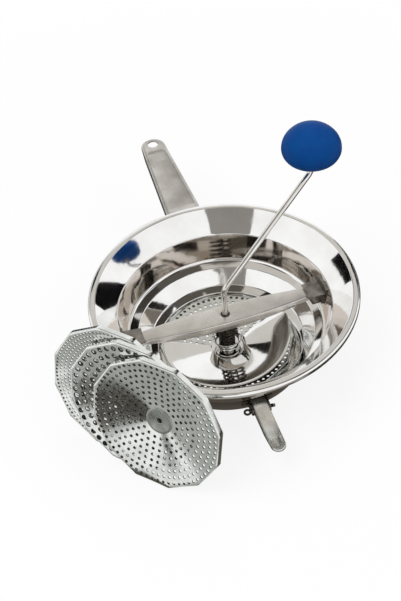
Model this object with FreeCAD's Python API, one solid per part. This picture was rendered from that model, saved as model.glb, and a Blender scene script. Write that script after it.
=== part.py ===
import FreeCAD, Part
import math
import os

# Rotary food mill: a stepped steel bowl with a perforated grid, a spring-loaded blade on a crank,
# a bayonet bridge, a hollow handle, a folding rest leg and three spare grids leaning on the rim.
# Millimetres. The origin is on the bowl axis at the standing face, +Z is up, the handle points
# along +Y, the leg along -Y and the bridge lies along X.

# Sheets that are welded or riveted together lie this far apart
WELD_GAP = 0.1

# Bowl: radii and heights of the inner surface, from the rim down to the grid seat
BOWL_SHEET = 1.2
RIM_RADIUS = 155.0
RIM_HEIGHT = 103.0
LIP_WIDTH = 8.0
LIP_DROP = 8.2
LIP_HEM = 4.5
FLANGE_RADIUS = 124.0
FLANGE_HEIGHT = 79.0
WALL_FOOT_RADIUS = 115.0
WALL_FOOT_HEIGHT = 45.0
LEDGE_RADIUS = 104.0
LEDGE_HEIGHT = 41.0
CONE_FOOT_RADIUS = 91.0
CONE_FOOT_HEIGHT = 24.0
SEAT_STEP_HEIGHT = 20.0
SEAT_HEIGHT = 12.0
SEAT_WIDTH = 7.2
LIP_BEND = 3.0
FLANGE_TOP_BEND = 2.0
FLANGE_FOOT_BEND = 6.0
WALL_FOOT_BEND = 6.0
LEDGE_BEND = 3.0
CONE_FOOT_BEND = 5.0
SEAT_BEND = 2.0

# Base skirt
SKIRT_SHEET = 1.2
SKIRT_TOP_RADIUS = 112.3
SKIRT_WELD_WIDTH = 6.0
SKIRT_FOOT_RADIUS = 90.5
SKIRT_FOOT_WIDTH = 6.5
SKIRT_TOP_BEND = 2.0
SKIRT_FOOT_BEND = 4.0

# Grids
GRID_RADIUS = 80.0
GRID_SIDES = 12
GRID_SHEET = 1.0
GRID_SKIRT = 8.0
GRID_DISH = 13.0
GRID_PLAY = 1.2
GRID_MARGIN = 4.0
BOSS_RADIUS = 16.5
BOSS_RISE = 3.4
BOSS_LIP = 2.4
BOSS_SLEEVE_RADIUS = 5.2
BOSS_BACK = 0.6
FINE_HOLE = 1.8
FINE_PITCH = 8.2
MEDIUM_HOLE = 2.8
MEDIUM_PITCH = 9.0
COARSE_HOLE = 5.0
COARSE_PITCH = 10.6

# Spare grids standing against the rim
SPARE_AZIMUTH = 223.0
SPARE_LEAN = 14.0
SPARE_SLIDES = (-46.0, -18.0, 18.0)
SPARE_CLEARANCE = 0.6
SPARE_STEPS = 100

# Crank rod, its pilot and its bends
ROD_RADIUS = 3.5
PILOT_RADIUS = 3.0
PILOT_LENGTH = 6.0
RUNNING_CLEARANCE = 0.06
CRANK_HEIGHT = 104.0
CRANK_REACH = 145.0
CRANK_AZIMUTH = 25.5
CRANK_TOP_HEIGHT = 192.0
CRANK_LOWER_BEND = 14.0
CRANK_UPPER_BEND = 12.0

# Blade, hub and cross pin
BLADE_RADIUS = 75.0
BLADE_SHEET = 1.5
BLADE_GAP = 0.4
BLADE_START = -200.0
BLADE_SWEEP = 215.0
BLADE_RISE = 20.0
BLADE_SECTIONS = 11
BLADE_ROOT_GAP = 0.6
BLADE_PLATE_RADIUS = 19.0
HUB_RADIUS = 9.0
HUB_HEIGHT = 4.2
CROSS_PIN_RADIUS = 1.25

# Bridge bar, bush and washer
BAR_HEIGHT = 65.5
BAR_SHEET = 2.0
BAR_HALF_LENGTH = 111.0
BAR_MIDDLE_WIDTH = 31.0
BAR_END_WIDTH = 12.5
BAR_MIDDLE_DEPTH = 11.0
BAR_END_DEPTH = 5.0
BAR_EDGE_BEND = 2.2
BUSH_RADIUS = 5.5
BUSH_FLANGE_RADIUS = 9.0
BUSH_FLANGE = 2.0
BUSH_RECESS = 0.6
WASHER_RADIUS = 12.5
WASHER_THICKNESS = 1.0

# Spring and its cup
CUP_RADIUS = 18.5
CUP_FLOOR = 1.3
CUP_RIM = 13.0
CUP_FOOT_RADIUS = 14.5
CUP_SHEET = 1.2
SPRING_RADIUS = 8.6
SPRING_WIRE = 2.2
SPRING_TURNS = 8
SPRING_END_GAP = 0.2
SPRING_LEAD_IN = 40.0

# Bayonet lugs inside the bowl wall
LUG_SHEET = 2.0
LUG_HALF_ANGLE = 6.5
LUG_INNER_RADIUS = 99.0
LUG_FOOT_HEIGHT = 53.0
LUG_TOP_HEIGHT = 74.0
LUG_CORNER = 6.0
LUG_PLAY = 0.35

# Knob and its fittings
KNOB_RADIUS = 34.2
KNOB_DOME = 29.0
KNOB_DOME_SHOULDER = 23.6
KNOB_BELLY = 20.5
KNOB_BELLY_SHOULDER = 14.8
KNOB_FOOT_RADIUS = 10.0
KNOB_FOOT_GAP = 13.5
SLEEVE_WALL = 1.5
SLEEVE_LENGTH = 30.0
CLIP_RADIUS = 6.6
CLIP_THICKNESS = 1.2
CLIP_ROOM = 0.4
KNOB_WASHER_RADIUS = 7.5
KNOB_WASHER_THICKNESS = 1.0

# Handle
HANDLE_SHEET = 1.6
HANDLE_TIP = 320.0
HANDLE_TOP = 93.6
HANDLE_DEPTH = 11.0
HANDLE_TIP_DEPTH = 4.0
HANDLE_RAMP = 14.0
HANDLE_ROOT_WIDTH = 45.0
HANDLE_TIP_WIDTH = 32.0
HANDLE_SHOULDER = 3.5
HANG_HOLE_RADIUS = 6.7
HANG_HOLE_INSET = 13.5
PANEL_DEPTH = 0.6
PANEL_MARGIN = 4.8
PANEL_START = 168.0
PANEL_END = 290.0
PANEL_CORNER = 5.0

# Folding leg, bracket and hinge pin
LEG_SHEET = 1.5
LEG_WIDTH = 17.0
LEG_TOP = 38.0
LEG_DEPTH = 9.5
LEG_TIP_DEPTH = 3.2
LEG_RAMP = 22.0
LEG_ROOT = 114.5
LEG_TIP = 187.0
LEG_EDGE_BEND = 1.4
LEG_GROOVE = 1.5
LEG_GROOVE_DEPTH = 0.7
LEG_RIM = 2.6
LEG_GROOVE_LENGTH = 9.0
HINGE_RADIUS = 2.0
HINGE_DISTANCE = 121.5
HINGE_HEIGHT = 32.0
HINGE_EYE_RADIUS = 3.2
HINGE_EYE_WIRE = 1.3
HINGE_TAIL = 4.0
BRACKET_SHEET = 2.0
BRACKET_HALF_ANGLE = 9.0
BRACKET_FOOT = 19.0
BRACKET_HEAD = 40.0
EAR_RADIUS = 5.5
EAR_PLAY = 0.4
RIVET_RADIUS = 2.6
RIVET_HEAD = 1.4
RIVET_ANGLE = 7.2

# Places that follow from the sizes above
UP = FreeCAD.Vector(0, 0, 1)
ORIGIN = FreeCAD.Vector(0, 0, 0)
SEAT_RADIUS = GRID_RADIUS + GRID_PLAY
GRID_CENTRE = SEAT_HEIGHT + GRID_SKIRT - GRID_DISH
BOSS_TOP = GRID_CENTRE + BOSS_RISE
BLADE_PLATE_FOOT = BOSS_TOP + BLADE_GAP
BLADE_PLATE_TOP = BLADE_PLATE_FOOT + BLADE_SHEET
HUB_TOP = BLADE_PLATE_TOP + HUB_HEIGHT
CUP_FOOT = HUB_TOP + RUNNING_CLEARANCE
CUP_TOP = CUP_FOOT + CUP_FLOOR
BUSH_FOOT = BAR_HEIGHT - BAR_SHEET - BUSH_FLANGE
WASHER_FOOT = BUSH_FOOT - WASHER_THICKNESS
CRANK_X = CRANK_REACH * math.cos(math.radians(CRANK_AZIMUTH))
CRANK_Y = CRANK_REACH * math.sin(math.radians(CRANK_AZIMUTH))
KNOB_FOOT = CRANK_TOP_HEIGHT + KNOB_FOOT_GAP
SLEEVE_TOP = KNOB_FOOT + KNOB_WASHER_THICKNESS + SLEEVE_LENGTH
SKIRT_SLOPE = math.atan2(LEDGE_HEIGHT - WALL_FOOT_HEIGHT, LEDGE_RADIUS - WALL_FOOT_RADIUS)


def point(x, y, z):
    return FreeCAD.Vector(x, y, z)


def path_edges(points, bends):
    """Straight runs through the points with a tangent arc of the given radius at each inner one."""
    edges = []
    start = points[0]
    for before, corner, after, bend in zip(points, points[1:], points[2:], bends):
        arriving = (corner - before).normalize()
        leaving = (after - corner).normalize()
        turn = arriving.getAngle(leaving)
        cut = bend * math.tan(turn / 2)
        first = corner - arriving * cut
        last = corner + leaving * cut
        inward = (leaving - arriving).normalize()
        middle = corner + inward * (bend / math.cos(turn / 2) - bend)
        edges.append(Part.makeLine(start, first))
        edges.append(Part.Arc(first, middle, last).toShape())
        start = last
    edges.append(Part.makeLine(start, points[-1]))
    return edges


def sheet_section(corners, bends, sheet):
    """Face of a bent sheet in the XZ plane: the path of one skin and its parallel, sheet to the left."""
    skin = [point(radius, 0, height) for radius, height in corners]
    runs = [(b - a).normalize() for a, b in zip(skin, skin[1:])]
    lefts = [point(-run.z, 0, run.x) for run in runs]
    inner = [skin[0] + lefts[0] * sheet]
    inner_bends = []
    for corner, left, next_left, run, bend in zip(skin[1:], lefts, lefts[1:], runs, bends):
        inner.append(corner + (left + next_left) * (sheet / (1 + left.dot(next_left))))
        turns_left = run.dot(next_left) < 0
        inner_bends.append(bend - sheet if turns_left else bend + sheet)
    inner.append(skin[-1] + lefts[-1] * sheet)
    edges = path_edges(skin, bends)
    edges.append(Part.makeLine(skin[-1], inner[-1]))
    edges.extend(path_edges(inner, inner_bends))
    edges.append(Part.makeLine(inner[0], skin[0]))
    return Part.Face(Part.Wire(Part.__sortEdges__(edges)))


def turned(outline, angle=360.0):
    """Solid of revolution about the Z axis from a closed outline of radius and height pairs."""
    face = Part.Face(Part.makePolygon([point(r, 0, z) for r, z in outline + outline[:1]]))
    return face.revolve(ORIGIN, UP, angle)


def disc(radius, foot, head, x=0.0, y=0.0):
    return Part.makeCylinder(radius, head - foot, point(x, y, foot))


def ring(bore, radius, foot, head, x=0.0, y=0.0):
    return disc(radius, foot, head, x, y).cut(disc(bore, foot, head, x, y))


def between(low, high, value, start, end):
    """Value on the straight line from start at low to end at high."""
    return start + (end - start) * (value - low) / (high - low)


def lug_seat(height):
    """Radius of a lug's back at a height, close to the inner skin of the steep bowl wall."""
    return between(WALL_FOOT_HEIGHT, FLANGE_HEIGHT, height, WALL_FOOT_RADIUS, FLANGE_RADIUS) - WELD_GAP


def ledge_underside(radius):
    """Height of the lower skin of the sloping ledge at a radius."""
    skin = between(LEDGE_RADIUS, WALL_FOOT_RADIUS, radius, LEDGE_HEIGHT, WALL_FOOT_HEIGHT)
    return skin - BOWL_SHEET * math.hypot(1, math.tan(SKIRT_SLOPE))


def skirt_radius(height):
    """Outer radius of the base skirt at a height."""
    top = ledge_underside(SKIRT_TOP_RADIUS) - WELD_GAP
    return between(0, top, height, SKIRT_FOOT_RADIUS, SKIRT_TOP_RADIUS)


def skirt_tilt():
    """Angle of the base skirt's wall from the upright."""
    return math.atan2(skirt_radius(RIM_HEIGHT) - skirt_radius(0), RIM_HEIGHT)


def dish_height(radius):
    """Height of a seated grid's upper skin at a radius."""
    return GRID_CENTRE + GRID_DISH * radius / GRID_RADIUS


def bowl():
    corners = [(RIM_RADIUS - LIP_HEM, RIM_HEIGHT - LIP_DROP)]
    corners.append((RIM_RADIUS, RIM_HEIGHT - LIP_DROP))
    corners.append((RIM_RADIUS, RIM_HEIGHT))
    corners.append((RIM_RADIUS - LIP_WIDTH, RIM_HEIGHT))
    corners.append((FLANGE_RADIUS, FLANGE_HEIGHT))
    corners.append((WALL_FOOT_RADIUS, WALL_FOOT_HEIGHT))
    corners.append((LEDGE_RADIUS, LEDGE_HEIGHT))
    corners.append((CONE_FOOT_RADIUS, CONE_FOOT_HEIGHT))
    corners.append((SEAT_RADIUS, SEAT_STEP_HEIGHT))
    corners.append((SEAT_RADIUS, SEAT_HEIGHT))
    corners.append((SEAT_RADIUS - SEAT_WIDTH, SEAT_HEIGHT))
    bends = [LIP_BEND, LIP_BEND, FLANGE_TOP_BEND, FLANGE_FOOT_BEND, WALL_FOOT_BEND]
    bends.extend([LEDGE_BEND, CONE_FOOT_BEND, SEAT_BEND, SEAT_BEND])
    return sheet_section(corners, bends, BOWL_SHEET).revolve(ORIGIN, UP, 360)


def base_skirt():
    weld_radius = SKIRT_TOP_RADIUS - SKIRT_WELD_WIDTH
    corners = [(weld_radius, ledge_underside(weld_radius) - WELD_GAP)]
    corners.append((SKIRT_TOP_RADIUS, ledge_underside(SKIRT_TOP_RADIUS) - WELD_GAP))
    corners.append((SKIRT_FOOT_RADIUS, 0))
    corners.append((SKIRT_FOOT_RADIUS - SKIRT_FOOT_WIDTH, 0))
    bends = [SKIRT_TOP_BEND, SKIRT_FOOT_BEND]
    return sheet_section(corners[::-1], bends[::-1], SKIRT_SHEET).revolve(ORIGIN, UP, 360)


def polygon_prism(radius, foot, head):
    """Upright prism with one flat side towards -Y."""
    step = 2 * math.pi / GRID_SIDES
    angles = [step * (side + 0.5) - math.pi / 2 for side in range(GRID_SIDES + 1)]
    corners = [point(radius * math.cos(a), radius * math.sin(a), foot) for a in angles]
    return Part.Face(Part.makePolygon(corners)).extrude(UP * (head - foot))


def below_dish(drop):
    """Everything under the dished skin, lowered by drop, of a grid whose skirt foot is at zero."""
    reach = GRID_RADIUS * 2
    low = -GRID_RADIUS
    centre = GRID_SKIRT - GRID_DISH - drop
    edge = centre + GRID_DISH * reach / GRID_RADIUS
    return turned([(0, low), (reach, low), (reach, edge), (0, centre)])


def perforations(hole, pitch):
    """Punches for rings of round holes, each ring shifted by half a step from the last."""
    apothem = GRID_RADIUS * math.cos(math.pi / GRID_SIDES)
    first = BOSS_RADIUS + pitch
    count = int((apothem - GRID_MARGIN - first) / pitch)
    punches = []
    for ring_number in range(count + 1):
        radius = first + ring_number * pitch
        holes = GRID_SIDES // 2 * round(2 * math.pi * radius / pitch / (GRID_SIDES // 2))
        for number in range(holes):
            angle = 2 * math.pi * (number + ring_number % 2 / 2) / holes
            x = radius * math.cos(angle)
            y = radius * math.sin(angle)
            punches.append(disc(hole / 2, -GRID_RADIUS, GRID_RADIUS, x, y))
    return punches


def grid_sheet(hole, pitch):
    """Dished twelve-sided grid with its edge turned down, skirt foot at zero."""
    skin = below_dish(0).cut(below_dish(GRID_SHEET))
    dish = skin.common(polygon_prism(GRID_RADIUS, -GRID_RADIUS, GRID_RADIUS))
    inset = GRID_SHEET / math.cos(math.pi / GRID_SIDES)
    inside = polygon_prism(GRID_RADIUS - inset, 0, GRID_RADIUS)
    band = polygon_prism(GRID_RADIUS, 0, GRID_RADIUS).cut(inside)
    blank = dish.fuse(band.common(below_dish(0))).removeSplitter()
    centre_hole = disc(BOSS_SLEEVE_RADIUS, -GRID_RADIUS, GRID_RADIUS)
    return blank.cut([centre_hole] + perforations(hole, pitch))


def grid_boss():
    """Cupped centre boss with the bearing sleeve for the crank's pilot, in the grid's own frame."""
    centre = GRID_SKIRT - GRID_DISH
    foot = centre + GRID_DISH * BOSS_RADIUS / GRID_RADIUS
    sleeve_skin = centre + GRID_DISH * BOSS_SLEEVE_RADIUS / GRID_RADIUS
    top = centre + BOSS_RISE
    back = centre - GRID_SHEET - BOSS_BACK
    bore = PILOT_RADIUS + RUNNING_CLEARANCE
    outline = [(bore, back), (BOSS_SLEEVE_RADIUS, back), (BOSS_SLEEVE_RADIUS, sleeve_skin)]
    outline.append((BOSS_RADIUS, foot))
    outline.append((BOSS_RADIUS - BOSS_LIP / 2, top))
    outline.append((BOSS_RADIUS - BOSS_LIP, top))
    outline.append((BOSS_SLEEVE_RADIUS, top - BOSS_RISE / 3))
    outline.append((bore, top - BOSS_RISE / 3))
    return turned(outline)


def rest_reach(lean, offset):
    """Distance of a leaning grid's foot plane at which its back just touches the rim.

    The rim's rounded edge is followed in small steps across the grid.
    """
    apothem = GRID_RADIUS * math.cos(math.pi / GRID_SIDES)
    height = RIM_HEIGHT / math.cos(lean) - apothem
    reaches = []
    for step in range(-SPARE_STEPS, SPARE_STEPS + 1):
        across = apothem * step / SPARE_STEPS
        from_middle = math.hypot(across, height)
        if from_middle > apothem:
            continue
        back = GRID_SKIRT - GRID_DISH - GRID_SHEET + GRID_DISH * from_middle / GRID_RADIUS
        if from_middle > apothem - GRID_SHEET:
            back = 0
        rim = math.sqrt((RIM_RADIUS - LIP_BEND) ** 2 - (across + offset) ** 2)
        edge = rim * math.cos(lean) + (RIM_HEIGHT - LIP_BEND) * math.sin(lean) + LIP_BEND
        reaches.append(edge - back)
    return max(reaches)


def spare_places():
    """Placement of each spare grid, from the one against the rim outwards."""
    azimuth = math.radians(SPARE_AZIMUTH)
    lean = math.radians(SPARE_LEAN)
    normal = point(math.cos(lean) * math.cos(azimuth), math.cos(lean) * math.sin(azimuth), math.sin(lean))
    slide = point(-math.sin(azimuth), math.cos(azimuth), 0)
    uphill = normal.cross(slide)
    turn = FreeCAD.Rotation(slide, uphill, normal, "ZXY")
    apothem = GRID_RADIUS * math.cos(math.pi / GRID_SIDES)
    reach = rest_reach(lean, SPARE_SLIDES[0]) + SPARE_CLEARANCE
    places = []
    for number, offset in enumerate(SPARE_SLIDES):
        if number > 0:
            step = offset - SPARE_SLIDES[number - 1]
            nested = GRID_DISH * (step + BOSS_SLEEVE_RADIUS) / GRID_RADIUS + GRID_SHEET + BOSS_BACK
            reach += max(GRID_SKIRT, nested) + SPARE_CLEARANCE
        climb = (apothem * uphill.z - reach * normal.z) / uphill.z
        places.append(FreeCAD.Placement(normal * reach + slide * offset + uphill * climb, turn))
    return places


def crank_rod():
    shoulder = BLADE_PLATE_FOOT
    path = [point(0, 0, shoulder), point(0, 0, CRANK_HEIGHT)]
    path.append(point(CRANK_X, CRANK_Y, CRANK_TOP_HEIGHT))
    path.append(point(CRANK_X, CRANK_Y, SLEEVE_TOP + CLIP_ROOM + CLIP_THICKNESS))
    wire = Part.Wire(path_edges(path, [CRANK_LOWER_BEND, CRANK_UPPER_BEND]))
    section = Part.Wire(Part.makeCircle(ROD_RADIUS, path[0], UP))
    rod = wire.makePipeShell([section], True, False)
    return rod.fuse(disc(PILOT_RADIUS, shoulder - PILOT_LENGTH, shoulder)).cut(cross_pin())


def cross_pin():
    middle = BLADE_PLATE_TOP + HUB_HEIGHT / 2
    return Part.makeCylinder(CROSS_PIN_RADIUS, 2 * HUB_RADIUS, point(-HUB_RADIUS, 0, middle), point(1, 0, 0))


def blade_hub():
    return ring(ROD_RADIUS, HUB_RADIUS, BLADE_PLATE_TOP, HUB_TOP).cut(cross_pin())


def blade():
    """Propeller-like wing that climbs from the grid, with its flat centre plate."""
    root = BOSS_RADIUS + BLADE_ROOT_GAP
    sections = []
    for number in range(BLADE_SECTIONS):
        share = number / (BLADE_SECTIONS - 1)
        angle = math.radians(BLADE_START + BLADE_SWEEP * share)
        rise = BLADE_RISE * share ** 2
        along = point(math.cos(angle), math.sin(angle), 0)
        inner = along * root + UP * (dish_height(root) + BLADE_GAP)
        outer = along * BLADE_RADIUS + UP * (dish_height(BLADE_RADIUS) + BLADE_GAP + rise)
        sheet = UP * BLADE_SHEET
        sections.append(Part.makePolygon([inner, outer, outer + sheet, inner + sheet, inner]))
    wing = Part.makeLoft(sections, True, False)
    plate = ring(ROD_RADIUS, BLADE_PLATE_RADIUS, BLADE_PLATE_FOOT, BLADE_PLATE_TOP)
    return wing.fuse(plate)


def spring_cup():
    bore = ROD_RADIUS + RUNNING_CLEARANCE
    outline = [(bore, CUP_FOOT), (CUP_FOOT_RADIUS, CUP_FOOT), (CUP_RADIUS, CUP_FOOT + CUP_RIM)]
    outline.append((CUP_RADIUS - CUP_SHEET, CUP_FOOT + CUP_RIM))
    outline.append((CUP_FOOT_RADIUS - CUP_SHEET, CUP_TOP))
    outline.append((bore, CUP_TOP))
    return turned(outline)


def arc_from(start, tangent, end):
    """Arc that leaves start along the tangent and stops at end."""
    chord = end - start
    bow = tangent - chord * (tangent.dot(chord) / chord.Length ** 2)
    height = chord.Length / 2 * math.tan(tangent.getAngle(chord) / 2)
    return Part.Arc(start, start + chord * 0.5 + bow.normalize() * height, end).toShape()


def biarc(start, leaving, end, arriving):
    """Two tangent arcs from one point and direction to another."""
    gap = end - start
    a = 2 * (1 - leaving.dot(arriving))
    b = 2 * gap.dot(leaving + arriving)
    reach = (math.sqrt(b * b + 4 * a * gap.dot(gap)) - b) / (2 * a)
    joint = (start + leaving * reach + end - arriving * reach) * 0.5
    first = arc_from(start, leaving, joint)
    second = arc_from(end, arriving * -1, joint)
    return [first, second]


def spring():
    """Compression spring: quarter turns of a helix as biarcs, with upright ends on cup and washer."""
    foot = CUP_TOP + SPRING_END_GAP
    head = WASHER_FOOT - SPRING_END_GAP
    lead = math.radians(SPRING_LEAD_IN)
    end_rise = SPRING_WIRE * 2
    climb = (head - foot - 2 * (SPRING_WIRE + end_rise)) / (SPRING_TURNS * 2 * math.pi)

    def on_helix(angle):
        height = foot + SPRING_WIRE + end_rise + climb * angle
        return point(SPRING_RADIUS * math.cos(angle), SPRING_RADIUS * math.sin(angle), height)

    def heading(angle):
        return point(-SPRING_RADIUS * math.sin(angle), SPRING_RADIUS * math.cos(angle), climb).normalize()

    def upright(angle, height):
        return point(SPRING_RADIUS * math.cos(angle), SPRING_RADIUS * math.sin(angle), height)

    last = SPRING_TURNS * 2 * math.pi
    low = upright(-lead, foot)
    low_end = upright(-lead, foot + SPRING_WIRE)
    high_end = upright(last + lead, head - SPRING_WIRE)
    high = upright(last + lead, head)
    edges = [Part.makeLine(low, low_end)]
    edges.extend(biarc(low_end, UP, on_helix(0), heading(0)))
    for quarter in range(4 * SPRING_TURNS):
        begin = quarter * math.pi / 2
        finish = begin + math.pi / 2
        edges.extend(biarc(on_helix(begin), heading(begin), on_helix(finish), heading(finish)))
    edges.extend(biarc(on_helix(last), heading(last), high_end, UP))
    edges.append(Part.makeLine(high_end, high))
    wire = Part.Wire(Part.__sortEdges__(edges))
    print("spring least gap to itself: %.2f mm" % least_gap(wire))
    section = Part.Wire(Part.makeCircle(SPRING_WIRE / 2, low, UP))
    return wire.makePipeShell([section], True, False)


def least_gap(wire):
    """Least free distance between turns, on points along the wire's middle line."""
    steps = 40 * SPRING_TURNS
    points = wire.discretize(Number=steps)
    skip = int(steps / wire.Length * SPRING_RADIUS * math.pi)
    pairs = [(a, b) for i, a in enumerate(points) for b in points[i + skip:]]
    return min((a - b).Length for a, b in pairs) - SPRING_WIRE


def bar_half_width(x):
    """Half width of the bar at a distance from its middle."""
    bow = (BAR_MIDDLE_WIDTH - BAR_END_WIDTH) / 2
    radius = (BAR_HALF_LENGTH ** 2 + bow ** 2) / (2 * bow)
    return BAR_MIDDLE_WIDTH / 2 - radius + math.sqrt(radius ** 2 - x ** 2)


def bar_plan(inset, foot):
    """Boat-shaped plan of the bar: two bowed sides between straight ends."""
    middle = BAR_MIDDLE_WIDTH / 2 - inset
    end = BAR_END_WIDTH / 2 - inset
    front_left = point(-BAR_HALF_LENGTH, -end, foot)
    front_right = point(BAR_HALF_LENGTH, -end, foot)
    back_right = point(BAR_HALF_LENGTH, end, foot)
    back_left = point(-BAR_HALF_LENGTH, end, foot)
    edges = [Part.Arc(front_left, point(0, -middle, foot), front_right).toShape()]
    edges.append(Part.makeLine(front_right, back_right))
    edges.append(Part.Arc(back_right, point(0, middle, foot), back_left).toShape())
    edges.append(Part.makeLine(back_left, front_left))
    return Part.Face(Part.Wire(edges))


def bridge_bar():
    foot = BAR_HEIGHT - BAR_MIDDLE_DEPTH
    block = bar_plan(0, foot).extrude(UP * BAR_MIDDLE_DEPTH)
    top_edges = [e for e in block.Edges if e.BoundBox.ZMin > foot + BAR_SHEET]
    sides = [e for e in top_edges if e.BoundBox.XLength > BAR_HALF_LENGTH]
    block = block.makeFillet(BAR_EDGE_BEND, sides)
    hollow = bar_plan(BAR_SHEET, foot).extrude(UP * (BAR_MIDDLE_DEPTH - BAR_SHEET))
    width = BAR_MIDDLE_WIDTH
    end_foot = BAR_HEIGHT - BAR_END_DEPTH
    arch = Part.Arc(
        point(-BAR_HALF_LENGTH, -width, end_foot),
        point(0, -width, foot),
        point(BAR_HALF_LENGTH, -width, end_foot),
    )
    low_left = point(-BAR_HALF_LENGTH, -width, foot - BAR_SHEET)
    low_right = point(BAR_HALF_LENGTH, -width, foot - BAR_SHEET)
    under = Part.makePolygon([arch.EndPoint, low_right, low_left, arch.StartPoint])
    below = Part.Face(Part.Wire([arch.toShape()] + under.Edges)).extrude(point(0, 2 * width, 0))
    return block.cut(hollow).cut(below).cut(disc(BUSH_RADIUS, foot, BAR_HEIGHT))


def bridge_bush():
    bore = ROD_RADIUS + RUNNING_CLEARANCE
    sleeve = ring(bore, BUSH_RADIUS, BUSH_FOOT, BAR_HEIGHT - BUSH_RECESS)
    return sleeve.fuse(ring(bore, BUSH_FLANGE_RADIUS, BUSH_FOOT, BUSH_FOOT + BUSH_FLANGE)).removeSplitter()


def spring_washer():
    return ring(ROD_RADIUS + 2 * RUNNING_CLEARANCE, WASHER_RADIUS, WASHER_FOOT, BUSH_FOOT)


def lug():
    """Bayonet lug on the +X side: back plate on the wall, roof over the bar end, stop cheek."""
    roof_foot = BAR_HEIGHT + LUG_PLAY
    roof_top = roof_foot + LUG_SHEET
    low, high = LUG_FOOT_HEIGHT, LUG_TOP_HEIGHT
    plate = [(lug_seat(low) - LUG_SHEET, low), (lug_seat(low), low)]
    plate.extend([(lug_seat(high), high), (lug_seat(high) - LUG_SHEET, high)])
    roof = [(LUG_INNER_RADIUS, roof_foot), (lug_seat(roof_foot), roof_foot)]
    roof.extend([(lug_seat(roof_top), roof_top), (LUG_INNER_RADIUS, roof_top)])
    cheek = [(LUG_INNER_RADIUS + LUG_CORNER, low), (lug_seat(low), low)]
    cheek.extend([(lug_seat(roof_foot), roof_foot), (LUG_INNER_RADIUS, roof_foot)])
    wide = [turned(outline, 2 * LUG_HALF_ANGLE) for outline in (plate, roof)]
    body = wide[0].fuse(wide[1])
    body.rotate(ORIGIN, UP, -LUG_HALF_ANGLE)
    stop_face = -(bar_half_width(LUG_INNER_RADIUS) + LUG_PLAY)
    stop = Part.makeBox(RIM_RADIUS, LUG_SHEET, RIM_HEIGHT, point(0, stop_face - LUG_SHEET, 0))
    side = turned(cheek, 4 * LUG_HALF_ANGLE)
    side.rotate(ORIGIN, UP, -2 * LUG_HALF_ANGLE)
    return body.fuse(side.common(stop)).removeSplitter()


def oval_radius(height, shoulder):
    """Radius of the arc that closes an oval of the knob's width over shoulders of a smaller radius."""
    return (KNOB_RADIUS ** 2 + height ** 2 - 2 * KNOB_RADIUS * shoulder) / (2 * (height - shoulder))


def oval_arcs(middle, height, shoulder, side, end):
    """Shoulder arc and closing arc of a half section, upwards or downwards, as far as radius end."""
    closing = oval_radius(height, shoulder)
    low = height - closing
    meeting = math.atan2(-low, KNOB_RADIUS - shoulder)
    stop = math.acos(end / closing)

    def on_arc(radius, centre_r, centre_z, angle):
        r = centre_r + radius * math.cos(angle)
        return point(r, 0, middle + side * (centre_z + radius * math.sin(angle)))

    first = [on_arc(shoulder, KNOB_RADIUS - shoulder, 0, meeting * share) for share in (0, 0.5, 1)]
    second = [on_arc(closing, 0, low, meeting + (stop - meeting) * share) for share in (0, 0.5, 1)]
    return [Part.Arc(*first).toShape(), Part.Arc(first[-1], second[1], second[2]).toShape()]


def knob_outline():
    """Half section of the knob: flat foot, round belly, taller dome."""
    closing = oval_radius(KNOB_BELLY, KNOB_BELLY_SHOULDER)
    middle = KNOB_FOOT + KNOB_BELLY - closing + math.sqrt(closing ** 2 - KNOB_FOOT_RADIUS ** 2)
    edges = oval_arcs(middle, KNOB_BELLY, KNOB_BELLY_SHOULDER, -1, KNOB_FOOT_RADIUS)
    edges.extend(oval_arcs(middle, KNOB_DOME, KNOB_DOME_SHOULDER, 1, 0))
    edges.append(Part.makeLine(point(0, 0, KNOB_FOOT), point(KNOB_FOOT_RADIUS, 0, KNOB_FOOT)))
    edges.append(Part.makeLine(point(0, 0, middle + KNOB_DOME), point(0, 0, KNOB_FOOT)))
    return Part.Face(Part.Wire(Part.__sortEdges__(edges)))


def knob():
    """Plastic knob with one stepped room for the washer, the sleeve and the clip."""
    washer_top = KNOB_FOOT + KNOB_WASHER_THICKNESS
    washer_room = KNOB_WASHER_RADIUS + CLIP_ROOM
    sleeve_room = ROD_RADIUS + RUNNING_CLEARANCE + SLEEVE_WALL
    clip_room = CLIP_RADIUS + CLIP_ROOM
    clip_head = SLEEVE_TOP + CLIP_THICKNESS + 2 * CLIP_ROOM
    room = [(0, KNOB_FOOT), (washer_room, KNOB_FOOT), (washer_room, washer_top), (sleeve_room, washer_top)]
    room.extend([(sleeve_room, SLEEVE_TOP), (clip_room, SLEEVE_TOP), (clip_room, clip_head), (0, clip_head)])
    ball = knob_outline().revolve(ORIGIN, UP, 360).cut(turned(room))
    ball.translate(point(CRANK_X, CRANK_Y, 0))
    return ball


def knob_sleeve():
    bore = ROD_RADIUS + RUNNING_CLEARANCE
    foot = KNOB_FOOT + KNOB_WASHER_THICKNESS
    return ring(bore, bore + SLEEVE_WALL, foot, SLEEVE_TOP, CRANK_X, CRANK_Y)


def knob_clip():
    foot = SLEEVE_TOP + CLIP_ROOM
    return ring(ROD_RADIUS, CLIP_RADIUS, foot, foot + CLIP_THICKNESS, CRANK_X, CRANK_Y)


def knob_washer():
    foot = KNOB_FOOT - RUNNING_CLEARANCE
    return ring(ROD_RADIUS, KNOB_WASHER_RADIUS, foot, foot + KNOB_WASHER_THICKNESS, CRANK_X, CRANK_Y)


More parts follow.
